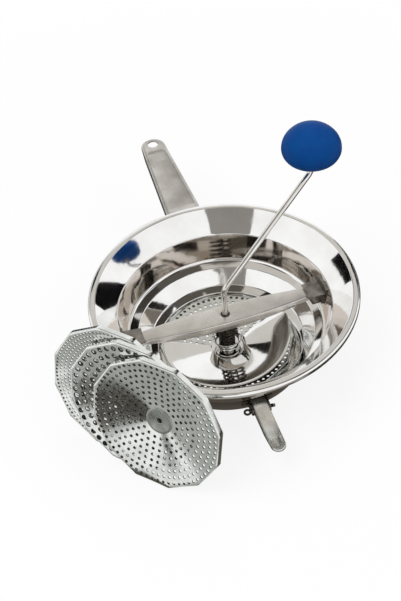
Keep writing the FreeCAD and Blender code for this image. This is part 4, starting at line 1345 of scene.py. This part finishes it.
@dataclass(kw_only=True)
class Bridge:
    """Boat-shaped bar with its bush, washer, spring and cup, and the lugs that hold it.

    A closed turn of the spring climbs by its pitch times the wire. The ease is the share of the climb between
    the closed turns that starts and ends slowly.
    """

    crank: Crank
    top: float = 65.5
    sheet: float = 2.0
    half_length: float = 111.0
    middle_width: float = 31.0
    end_width: float = 12.5
    middle_depth: float = 11.0
    end_depth: float = 5.0
    edge_bend: float = 2.2
    broken_edge: float = 0.4
    bush_radius: float = 5.5
    cup_radius: float = 18.5
    cup_foot_radius: float = 14.5
    cup_foot: float = 16.56
    cup_floor: float = 1.3
    cup_rim: float = 13.0
    cup_sheet: float = 1.2
    cup_bends: tuple[float, ...] = (0.2, 1.4, 0.5, 0.5, 1.0)
    spring_radius: float = 8.6
    spring_wire: float = 2.2
    spring_turns: int = 8
    spring_foot: float = 18.06
    spring_head: float = 60.30
    closed_turns: int = 1
    closed_pitch: float = 1.06
    spring_ease: float = 0.25
    lift_travel: float = 4.0

    def bowed(self, x: float, middle: float, end: float) -> float:
        """Value on the arc that passes end at both bar ends and middle between them.

        Args:
            x: Place along the bar.
            middle: Value at the middle of the bar.
            end: Value at its ends.

        Returns:
            Value at the place.
        """
        bow = middle - end
        radius = (self.half_length ** 2 + bow ** 2) / (2 * bow)
        return middle - radius + math.sqrt(radius ** 2 - x ** 2)

    def bar(self) -> Mesh:
        """Inverted channel with bowed sides, an arched foot and the hole for the bush.

        Returns:
            Mesh in millimetres.
        """
        bm = bmesh.new()
        steps = 72
        stations = [self.half_length * (2 * step / steps - 1) for step in range(steps + 1)]
        widths = [self.bowed(x, self.middle_width / 2, self.end_width / 2) for x in stations]
        feet = [self.top - self.bowed(x, self.middle_depth, self.end_depth) for x in stations]
        brims = []
        for side in (-1, 1):
            rows = [[bm.verts.new((x, side * w, z)) for x, w, z in zip(stations, widths, feet)]]
            for inset, drop in bent_edge(self.edge_bend):
                edge = [Vector((x, side * (width - inset))) for x, width in zip(stations, widths)]
                rows.append(level_row(bm, edge, self.top - drop))
            for low, high in zip(rows, rows[1:]):
                strip(bm, low, high)
            brims.append(rows[-1])
        hole = hole_edge(bm, Vector((0, 0)), self.bush_radius, self.top)
        fill(bm, [brims[0] + brims[1][::-1], hole])
        face_up(bm)
        return thickened(to_mesh(bm, "bar"), self.sheet, edge=self.broken_edge)

    def cup(self) -> Mesh:
        """Dished collar under the spring with a rolled rim.

        Returns:
            Mesh in millimetres.
        """
        bore = self.crank.rod_radius + self.crank.running_gap
        floor = self.cup_foot + self.cup_floor
        head = self.cup_foot + self.cup_rim
        corners = [(bore, floor), (bore, self.cup_foot), (self.cup_foot_radius, self.cup_foot)]
        corners.append((self.cup_radius, head))
        corners.append((self.cup_radius - self.cup_sheet, head))
        corners.append((self.cup_foot_radius - self.cup_sheet, floor))
        corners.append((bore, floor))
        outline = rounded([Vector(corner) for corner in corners], self.cup_bends, steps=5)
        return to_mesh(lathe(outline[:-1], steps=96), "cup")

    def spring(self) -> Mesh:
        """Compression spring with its end turns closed.

        Returns:
            Mesh in millimetres.
        """
        wire = self.spring_wire
        low = self.spring_foot + wire / 2
        high = self.spring_head - wire / 2
        closed_climb = wire * self.closed_pitch
        climb = high - low - 2 * self.closed_turns * closed_climb
        turns = self.spring_turns + 2 * self.closed_turns
        steps = 48
        path = []
        for step in range(turns * steps + 1):
            turn = step / steps
            active = min(max(turn - self.closed_turns, 0), self.spring_turns) / self.spring_turns
            smooth = active * active * (3 - 2 * active)
            eased = smooth * self.spring_ease + active * (1 - self.spring_ease)
            ends = min(turn, self.closed_turns) + max(turn - turns + self.closed_turns, 0)
            height = low + ends * closed_climb + eased * climb
            path.append(polar(self.spring_radius, 2 * math.pi * turn, height))
        return to_mesh(tube(path, wire / 2, sides=14), "spring")

    def build(self) -> None:
        """Build the bar, the cup and the spring, and dress the lugs and fittings."""
        finished("bridge_channel", self.bar(), BRIDGE_STEEL.make(), Body.BRIDGE, "bridge_bar")
        finished("spring_dish", self.cup(), MIRROR_STEEL.make(), Body.LIFT, "spring_cup")
        coil = self.spring()
        spring = finished("blade_spring", coil, SPRING_STEEL.make(), Body.BRIDGE, "spring")
        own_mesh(spring)
        dress_nodes(("spring_washer", "lug_left", "lug_right"), FITTING_STEEL.make())
        # The bush gets the dark steel as painted shade, for it sits sunk in the bar's hole round the rod.
        dress_nodes(("bridge_bush",), HINGE_STEEL_AND_BUSH_SHADE.make())


@dataclass(kw_only=True)
class Channel:
    """Inverted channel with a rounded upper edge, whose wall gets lower on a ramp before its round tip."""

    sheet: float
    top: float
    depth: float
    tip: float
    tip_width: float
    tip_depth: float
    ramp: float
    edge_bend: float
    broken_edge: float

    def outline(self, inset: float, height: float) -> list[Vector]:
        """Open outline in plan, at an inset and a height."""
        raise NotImplementedError

    def tip_middle(self) -> float:
        """Distance along the channel of the middle of its round tip."""
        return self.tip - self.tip_width / 2

    def wall_depth(self, distance: float) -> float:
        """Depth of the wall at a distance along the channel."""
        share = min(max((distance - self.tip_middle()) / self.ramp + 1, 0), 1)
        return self.depth + (self.tip_depth - self.depth) * share

    def walls(self, bm: BMesh) -> list[BMVert]:
        """Add the walls up to the inner side of the rounded edge.

        Args:
            bm: Mesh that gets the walls.

        Returns:
            Vertices of the inner side, for the fill of the top.
        """
        foot = self.outline(0, self.top - self.depth)
        loops = [[bm.verts.new((p.x, p.y, self.top - self.wall_depth(abs(p.y)))) for p in foot]]
        for inset, drop in bent_edge(self.edge_bend):
            height = self.top - drop
            loops.append(level_row(bm, self.outline(inset, height), height))
        for low, high in zip(loops, loops[1:]):
            strip(bm, low, high)
        return loops[-1]

    def closed_sheet(self, bm: BMesh, name: str) -> Mesh:
        """Turn the skin's faces up and give it its sheet thickness."""
        face_up(bm)
        return thickened(to_mesh(bm, name), self.sheet, edge=self.broken_edge)


@dataclass(kw_only=True)
class Handle(Channel):
    """Stamped hollow handle with a hanging hole and a sunk panel."""

    bowl: Bowl
    sheet: float = 1.6
    top: float = 93.6
    depth: float = 11.0
    tip: float = 320.0
    tip_width: float = 32.0
    tip_depth: float = 4.0
    ramp: float = 14.0
    edge_bend: float = 3.5
    broken_edge: float = 0.3
    root_width: float = 45.0
    hole_radius: float = 6.7
    hole_inset: float = 13.5
    panel_depth: float = 0.6
    panel_margin: float = 4.8
    panel_start: float = 168.0
    panel_end: float = 290.0
    panel_corner: float = 5.0

    def half_width(self, y: float) -> float:
        """Half width of the straight part at a distance along the handle."""
        share = (y - self.bowl.rim_radius) / (self.tip_middle() - self.bowl.rim_radius)
        return (self.root_width + (self.tip_width - self.root_width) * share) / 2

    def root(self, x: float, height: float) -> float:
        """Distance along the handle at which it meets the outside of the flange."""
        return math.sqrt(self.bowl.flange_outside(height) ** 2 - x ** 2)

    def outline(self, inset: float, height: float) -> list[Vector]:
        """Outline in plan at a height, from the root's left corner round the tip to the right one.

        Args:
            inset: Distance in from the outer edge.
            height: Height, which sets where the root meets the flange.

        Returns:
            Points of the open outline.
        """
        tip_steps = 40
        side_steps = 12
        nose = arc(Vector((0, self.tip_middle())), self.tip_width / 2 - inset, math.pi, 0, tip_steps)
        half = self.half_width(self.root(0, height)) - inset
        corner = Vector((-half, self.root(half, height)))
        left = [corner.lerp(nose[0], step / side_steps) for step in range(side_steps)]
        right = [Vector((-p.x, p.y)) for p in left[::-1]]
        return left + nose + right

    def panel(self) -> list[Vector]:
        """Rounded outline of the sunk panel.

        Returns:
            Points of the closed outline.
        """
        start = self.half_width(self.panel_start) - self.panel_margin
        end = self.half_width(self.panel_end) - self.panel_margin
        middle = Vector((0, self.panel_start))
        corners = [middle, Vector((start, self.panel_start)), Vector((end, self.panel_end))]
        corners.extend([Vector((-end, self.panel_end)), Vector((-start, self.panel_start)), middle])
        return rounded(corners, [self.panel_corner] * 4)[:-1]

    def shell(self) -> Mesh:
        """Skin of the handle, given its sheet thickness.

        Returns:
            Mesh in millimetres.
        """
        bm = bmesh.new()
        brim = self.walls(bm)
        half = brim[-1].co.x
        root_steps = 16
        across = [half * (1 - 2 * step / root_steps) for step in range(1, root_steps)]
        root = level_row(bm, [Vector((x, self.root(x, self.top))) for x in across], self.top)
        hole = hole_edge(bm, Vector((0, self.tip - self.hole_inset)), self.hole_radius, self.top)
        panel = sunk_panel(bm, self.panel(), self.top, self.panel_depth)
        fill(bm, [brim + root, hole, panel])
        return self.closed_sheet(bm, "handle")

    def build(self) -> None:
        """Build the handle."""
        finished("handle_stamping", self.shell(), HANDLE_STEEL.make(), Body.BOWL, "handle")


@dataclass(kw_only=True)
class RestLeg(Channel):
    """Folding rest leg with its grooved nose, on a riveted bracket. It is as wide all along as at its tip."""

    sheet: float = 1.5
    top: float = 38.0
    depth: float = 9.5
    tip: float = 187.0
    tip_width: float = 17.0
    tip_depth: float = 3.2
    ramp: float = 22.0
    edge_bend: float = 1.4
    broken_edge: float = 0.25
    root: float = 114.5
    groove: float = 1.6
    groove_depth: float = 1.2
    nose_rim: float = 2.6
    groove_length: float = 9.0

    def plan(self, inset: float, root: float) -> list[Vector]:
        """Open outline in plan, from the root's right corner round the nose to the left one.

        Args:
            inset: Distance in from the outer edge.
            root: Distance along the leg at which the outline starts.

        Returns:
            Points of the outline.
        """
        nose_steps = 32
        side_steps = 8
        half = self.tip_width / 2 - inset
        nose = arc(Vector((0, -self.tip_middle())), half, 0, -math.pi, nose_steps)
        right = [Vector((half, -root)).lerp(nose[0], step / side_steps) for step in range(side_steps)]
        left = [Vector((-p.x, p.y)) for p in right[::-1]]
        return right + nose + left

    def outline(self, inset: float, height: float) -> list[Vector]:
        """Open outline of the whole leg in plan, the same at each height."""
        return self.plan(inset, self.root)

    def shell(self) -> Mesh:
        """Skin of the channel with its groove, given its sheet thickness.

        Returns:
            Mesh in millimetres.
        """
        bm = bmesh.new()
        brim = self.walls(bm)
        groove_root = self.tip_middle() - self.groove_length
        outer = self.plan(self.nose_rim, groove_root)
        inner = self.plan(self.nose_rim + self.groove, groove_root)
        groove = sunk_panel(bm, outer + inner[::-1], self.top, self.groove_depth)
        fill(bm, [brim, groove])
        return self.closed_sheet(bm, "leg")

    def build(self) -> None:
        """Build the leg, and dress its bracket, rivets and pin."""
        finished("rest_leg", self.shell(), LEG_STEEL.make(), Body.LEG, "leg")
        dress_nodes(("leg_bracket", "leg_bracket_rivets", "leg_pin"), HINGE_STEEL_AND_BUSH_SHADE.make())


@dataclass(frozen=True)
class Card:
    """A studio card that only reflections see, and that faces what it is hung round.

    Attributes:
        name: Name of the card's object.
        azimuth: Direction of the card, counted from the camera's side.
        elevation: Height of the card over the horizon, as an angle.
        distance: Distance of the card.
        width: Width of the card as an angle.
        height: Height of the card as an angle.
        tone: sRGB colour that the metal shows.
        roll: Turn of the card in its own plane.
    """

    name: str
    azimuth: float
    elevation: float
    distance: float
    width: float
    height: float
    tone: str
    roll: float = 0.0

    def span(self, angle: float) -> float:
        """Length that fills an angle at the card's distance."""
        return 2 * self.distance * math.tan(math.radians(angle / 2))


@dataclass(frozen=True)
class FloorCard:
    """A studio card at floor level that only reflections see.

    Attributes:
        name: Name of the card's object.
        azimuth: Direction of the card's middle, counted from the camera's side.
        distance: Distance of its middle from the bowl axis.
        width: Width across that direction.
        length: Length along it.
        tone: sRGB colour that the metal shows.
    """

    name: str
    azimuth: float
    distance: float
    width: float
    length: float
    tone: str


@dataclass(frozen=True)
class Softbox:
    """A square soft lamp that faces the middle of the rim.

    Attributes:
        name: Name of the lamp's object.
        azimuth: Direction of the lamp, counted from the camera's side.
        elevation: Height of the lamp over the horizon, as an angle.
        power: Power in watts.
        size: Side of the square.
    """

    name: str
    azimuth: float
    elevation: float
    power: float
    size: float


# What the bowl shows: three grey fields on the flange and the wall, two dark patches on the flange, then the
# darker parts of the ledge, the well and the wall. The last three lie lower than the floor, for the steel
# that looks down.
ROOM_CARDS = (
    Card("camera_card", -13, 42, 1.45, 31, 38, "#8e8a85"),
    Card("back_card", 180, 52, 1.60, 75, 32, "#cfccc7"),
    Card("ceiling_card", 0, 90, 1.40, 52, 52, "#c4bfb8"),
    Card("right_flag", 131, 6, 0.60, 32, 24, "#100f0f"),
    Card("left_flag", 225.5, 17.4, 0.62, 25, 8, "#100f0f", 34.6),
    Card("ledge_back_flag", 0, 88, 1.30, 22, 20, "#57534d"),
    Card("ledge_turn_flag", 124, 69, 1.30, 18, 20, "#57534d"),
    Card("ledge_side_flag", 134, 50, 1.30, 14, 20, "#3f3b36"),
    Card("well_left_flag", 147, 33, 1.30, 20, 18, "#191715"),
    Card("well_right_flag", 207, 33, 1.30, 12, 14, "#191715"),
    Card("left_wall_flag", -88, 62, 1.30, 30, 14, "#1d1b19"),
    Card("right_wall_flag", 88, 62, 1.30, 30, 14, "#1d1b19"),
    Card("floor_left_flag", -148, -32, 1.20, 40, 44, "#171513"),
    Card("floor_right_flag", 105, -48, 1.20, 50, 36, "#171513"),
    Card("floor_front_card", 22, -46, 1.20, 70, 34, "#a39f98"),
)
# What the dished spare grids show: a dark sector, a grey one and a dull edge.
SPARE_CARDS = (
    Card("spare_dark_flag", -44, -28, 1.50, 14, 20, "#48433d"),
    Card("spare_grey_card", -64, -34, 1.50, 20, 24, "#aeb0ac"),
    Card("spare_edge_flag", -61, -14, 1.50, 5, 6, "#5f5d58"),
)
# The table beside the mill, and a dark card under it that is painted shade, standing for the mill's shadow on
# the floor in reflections; both darken the lower sides of the steel.
FLOOR_CARDS = (
    FloorCard("table_flag", 90, 0.42, 0.70, 0.50, "#45423e"),
    FloorCard("base_shade", 0, 0.03, 0.27, 0.34, "#5a564f"),
)
SOFTBOXES = (
    Softbox("key_softbox", -50, 58, 17.0, 1.1),
    Softbox("fill_softbox", 70, 45, 8.0, 1.0),
    Softbox("back_softbox", 175, 60, 7.0, 0.9),
)


def rectangle(name: str, material: Material, middle: Vector, across: Vector, along: Vector) -> Object:
    """Flat rectangle for the stage.

    Args:
        name: Name of the object.
        material: Its material.
        middle: Its middle.
        across: Its width, as a vector from side to side.
        along: Its height, as a vector from foot to head.

    Returns:
        The object.
    """
    bm = bmesh.new()
    corners = ((-0.5, -0.5), (0.5, -0.5), (0.5, 0.5), (-0.5, 0.5))
    bm.faces.new([bm.verts.new(middle + across * x + along * y) for x, y in corners])
    mesh = to_mesh(bm, name)
    mesh.materials.append(material)
    plate = bpy.data.objects.new(name, mesh)
    bpy.context.scene.collection.objects.link(plate)
    return plate


@dataclass
class Studio:
    """White sweep, soft lamps, cards that only reflections see, and the camera.

    Attributes:
        distance: Camera's distance from the middle of the rim.
        elevation: Camera's height angle.
        azimuth: Camera's turn about the bowl axis.
        roll: Camera's roll.
        lens: Focal length in millimetres.
        sensor: Longer side of the sensor in millimetres.
        picture_height: Height of the photograph in pixels, its longer side.
        offset: Shift of the picture's middle in pixels of the photograph, to the right and up.
        target: Middle of the rim, which the camera looks at.
        spares: Middle of the leaning spare grids.
        ambient: Light level of the world.
        lamp_distance: Distance of the lamps from the middle of the rim.
        floor_side: Side of the square floor.
        floor_drop: Gap between the floor and the standing face.
        floor_tone: sRGB colour of the floor.
        floor_white: Share of plain white that the camera sees in the floor close to the mill.
        sweep: Distances at which the floor starts to fade and is plain white.
    """

    distance: float = 1.300
    elevation: float = 44.62
    azimuth: float = -15.0
    roll: float = -4.26
    lens: float = 68.43
    sensor: float = 36.0
    picture_height: int = 601
    offset: tuple[float, float] = (-23.03, -9.49)
    target: tuple[float, float, float] = (0.0, 0.0, 0.103)
    spares: tuple[float, float, float] = (-0.118, -0.135, 0.075)
    ambient: float = 0.42
    lamp_distance: float = 1.7
    floor_side: float = 12.0
    floor_drop: float = 0.0004
    floor_tone: str = "#eaeaea"
    floor_white: float = 0.86
    sweep: tuple[float, float] = (0.28, 0.90)

    def towards(self, azimuth: float, elevation: float) -> Vector:
        """Direction away from the bowl.

        Args:
            azimuth: Angle counted from the camera's side.
            elevation: Angle over the horizon.

        Returns:
            Vector of length one.
        """
        turn = math.radians(self.azimuth + azimuth)
        rise = math.radians(elevation)
        return Vector((math.sin(turn) * math.cos(rise), -math.cos(turn) * math.cos(rise), math.sin(rise)))

    def camera(self) -> None:
        """Place the camera at the photograph's viewing angle."""
        data = bpy.data.cameras.new("view")
        data.lens = self.lens
        data.sensor_width = self.sensor
        data.shift_x, data.shift_y = [pixels / self.picture_height for pixels in self.offset]
        back = self.towards(0, self.elevation)
        right = UP.cross(back).normalized()
        up = back.cross(right)
        roll = math.radians(self.roll)
        side = right * math.cos(roll) + up * math.sin(roll)
        head = up * math.cos(roll) - right * math.sin(roll)
        matrix = Matrix((side, head, back)).transposed().to_4x4()
        matrix.translation = Vector(self.target) + back * self.distance
        camera = bpy.data.objects.new("view", data)
        camera.matrix_world = matrix
        bpy.context.scene.collection.objects.link(camera)
        bpy.context.scene.camera = camera

    def world(self) -> None:
        """White surroundings for the eye and for reflections, at a plain light level for all else."""
        world = bpy.data.worlds.new("white_surroundings")
        world.use_nodes = True
        bpy.context.scene.world = world
        tree = world.node_tree
        tree.nodes.clear()
        rays = add_node(tree, "ShaderNodeLightPath").outputs
        turned = {0: rays["Is Glossy Ray"], 1: rays["Is Transmission Ray"]}
        mirrored = add_node(tree, "ShaderNodeMath", turned, operation="MAXIMUM").outputs[0]
        either = {0: rays["Is Camera Ray"], 1: mirrored}
        seen = add_node(tree, "ShaderNodeMath", either, operation="MAXIMUM").outputs[0]
        limits = {"Value": seen, "To Min": self.ambient, "To Max": 1.0}
        level = add_node(tree, "ShaderNodeMapRange", limits).outputs[0]
        sky = add_node(tree, "ShaderNodeBackground", {"Color": to_linear(WHITE), "Strength": level})
        add_node(tree, "ShaderNodeOutputWorld", {"Surface": sky.outputs[0]})

    def floor(self) -> None:
        """Pale floor that shows white, keeps the soft shadow of the mill and is left out of reflections."""
        material = new_material("matt_white_sweep")
        tree = material.node_tree
        matt = add_node(tree, "ShaderNodeBsdfDiffuse", {"Color": to_linear(self.floor_tone)}).outputs[0]
        white = add_node(tree, "ShaderNodeEmission", {"Color": to_linear(WHITE)}).outputs[0]
        place = add_node(tree, "ShaderNodeTexCoord").outputs["Object"]
        distance = add_node(tree, "ShaderNodeVectorMath", {0: place}, operation="LENGTH").outputs["Value"]
        near, far = self.sweep
        reach = {"Value": distance, "From Min": near, "From Max": far}
        fade = {"To Min": self.floor_white, "To Max": 1.0}
        share = add_node(tree, "ShaderNodeMapRange", {**reach, **fade}).outputs[0]
        eye = add_node(tree, "ShaderNodeLightPath").outputs["Is Camera Ray"]
        seen = add_node(tree, "ShaderNodeMath", {0: eye, 1: share}, operation="MULTIPLY").outputs[0]
        mixed = add_node(tree, "ShaderNodeMixShader", {0: seen, 1: matt, 2: white}).outputs[0]
        add_node(tree, "ShaderNodeOutputMaterial", {"Surface": mixed})
        side = self.floor_side
        sides = (Vector((side, 0, 0)), Vector((0, side, 0)))
        floor = rectangle("floor", material, UP * -self.floor_drop, *sides)
        floor.visible_glossy = False

    def card(self, name: str, tone: str, middle: Vector, across: Vector, along: Vector) -> None:
        """Card that only reflections see.

        Args:
            name: Name of the card's object.
            tone: sRGB colour that the metal shows.
            middle: Its middle.
            across: Its width, as a vector from side to side.
            along: Its height, as a vector from foot to head.
        """
        material = new_material(name)
        tree = material.node_tree
        glow = add_node(tree, "ShaderNodeEmission", {"Color": to_linear(tone)}).outputs[0]
        add_node(tree, "ShaderNodeOutputMaterial", {"Surface": glow})
        card = rectangle(name, material, middle, across, along)
        card.visible_camera = False
        card.visible_shadow = False
        card.visible_diffuse = False

    def hang(self, card: Card, middle: Vector) -> None:
        """Hang a card so that it faces a point.

        Args:
            card: The card.
            middle: The point, from which the card's angles are seen.
        """
        away = self.towards(card.azimuth, card.elevation)
        level = self.towards(card.azimuth + 90, 0)
        roll = math.radians(card.roll)
        side = level * math.cos(roll) + away.cross(level) * math.sin(roll)
        across = side * card.span(card.width)
        along = away.cross(side) * card.span(card.height)
        self.card(card.name, card.tone, middle + away * card.distance, across, along)

    def cards(self) -> None:
        """Grey and dark cards that give the polished steel something to show."""
        for card in ROOM_CARDS:
            self.hang(card, Vector(self.target))
        for card in SPARE_CARDS:
            self.hang(card, Vector(self.spares))
        for card in FLOOR_CARDS:
            away = self.towards(card.azimuth, 0)
            across = self.towards(card.azimuth + 90, 0) * card.width
            self.card(card.name, card.tone, away * card.distance, across, away * card.length)

    def lamps(self) -> None:
        """Large soft lamps above and to the sides."""
        for softbox in SOFTBOXES:
            data = bpy.data.lights.new(softbox.name, "AREA")
            data.energy = softbox.power
            data.size = softbox.size
            lamp = bpy.data.objects.new(softbox.name, data)
            away = self.towards(softbox.azimuth, softbox.elevation)
            lamp.location = Vector(self.target) + away * self.lamp_distance
            lamp.rotation_mode = "QUATERNION"
            lamp.rotation_quaternion = away.to_track_quat("Z", "Y")
            bpy.context.scene.collection.objects.link(lamp)
            lamp.visible_glossy = False

    def build(self) -> None:
        """Build the stage, the lamps and the camera."""
        bpy.context.scene.view_settings.view_transform = "Standard"
        self.world()
        self.floor()
        self.cards()
        self.lamps()
        self.camera()


def main() -> None:
    """Build every sub-assembly and the studio."""
    logging.basicConfig(level=logging.INFO, format="%(message)s")
    bowl = Bowl()
    grids = GridSet(bowl=bowl)
    crank = Crank(grids=grids)
    bridge = Bridge(crank=crank)
    for assembly in (bowl, grids, crank, bridge, Handle(bowl=bowl), RestLeg(), Studio()):
        LOG.info("building %s", type(assembly).__name__)
        assembly.build()


if __name__ == "__main__":
    main()
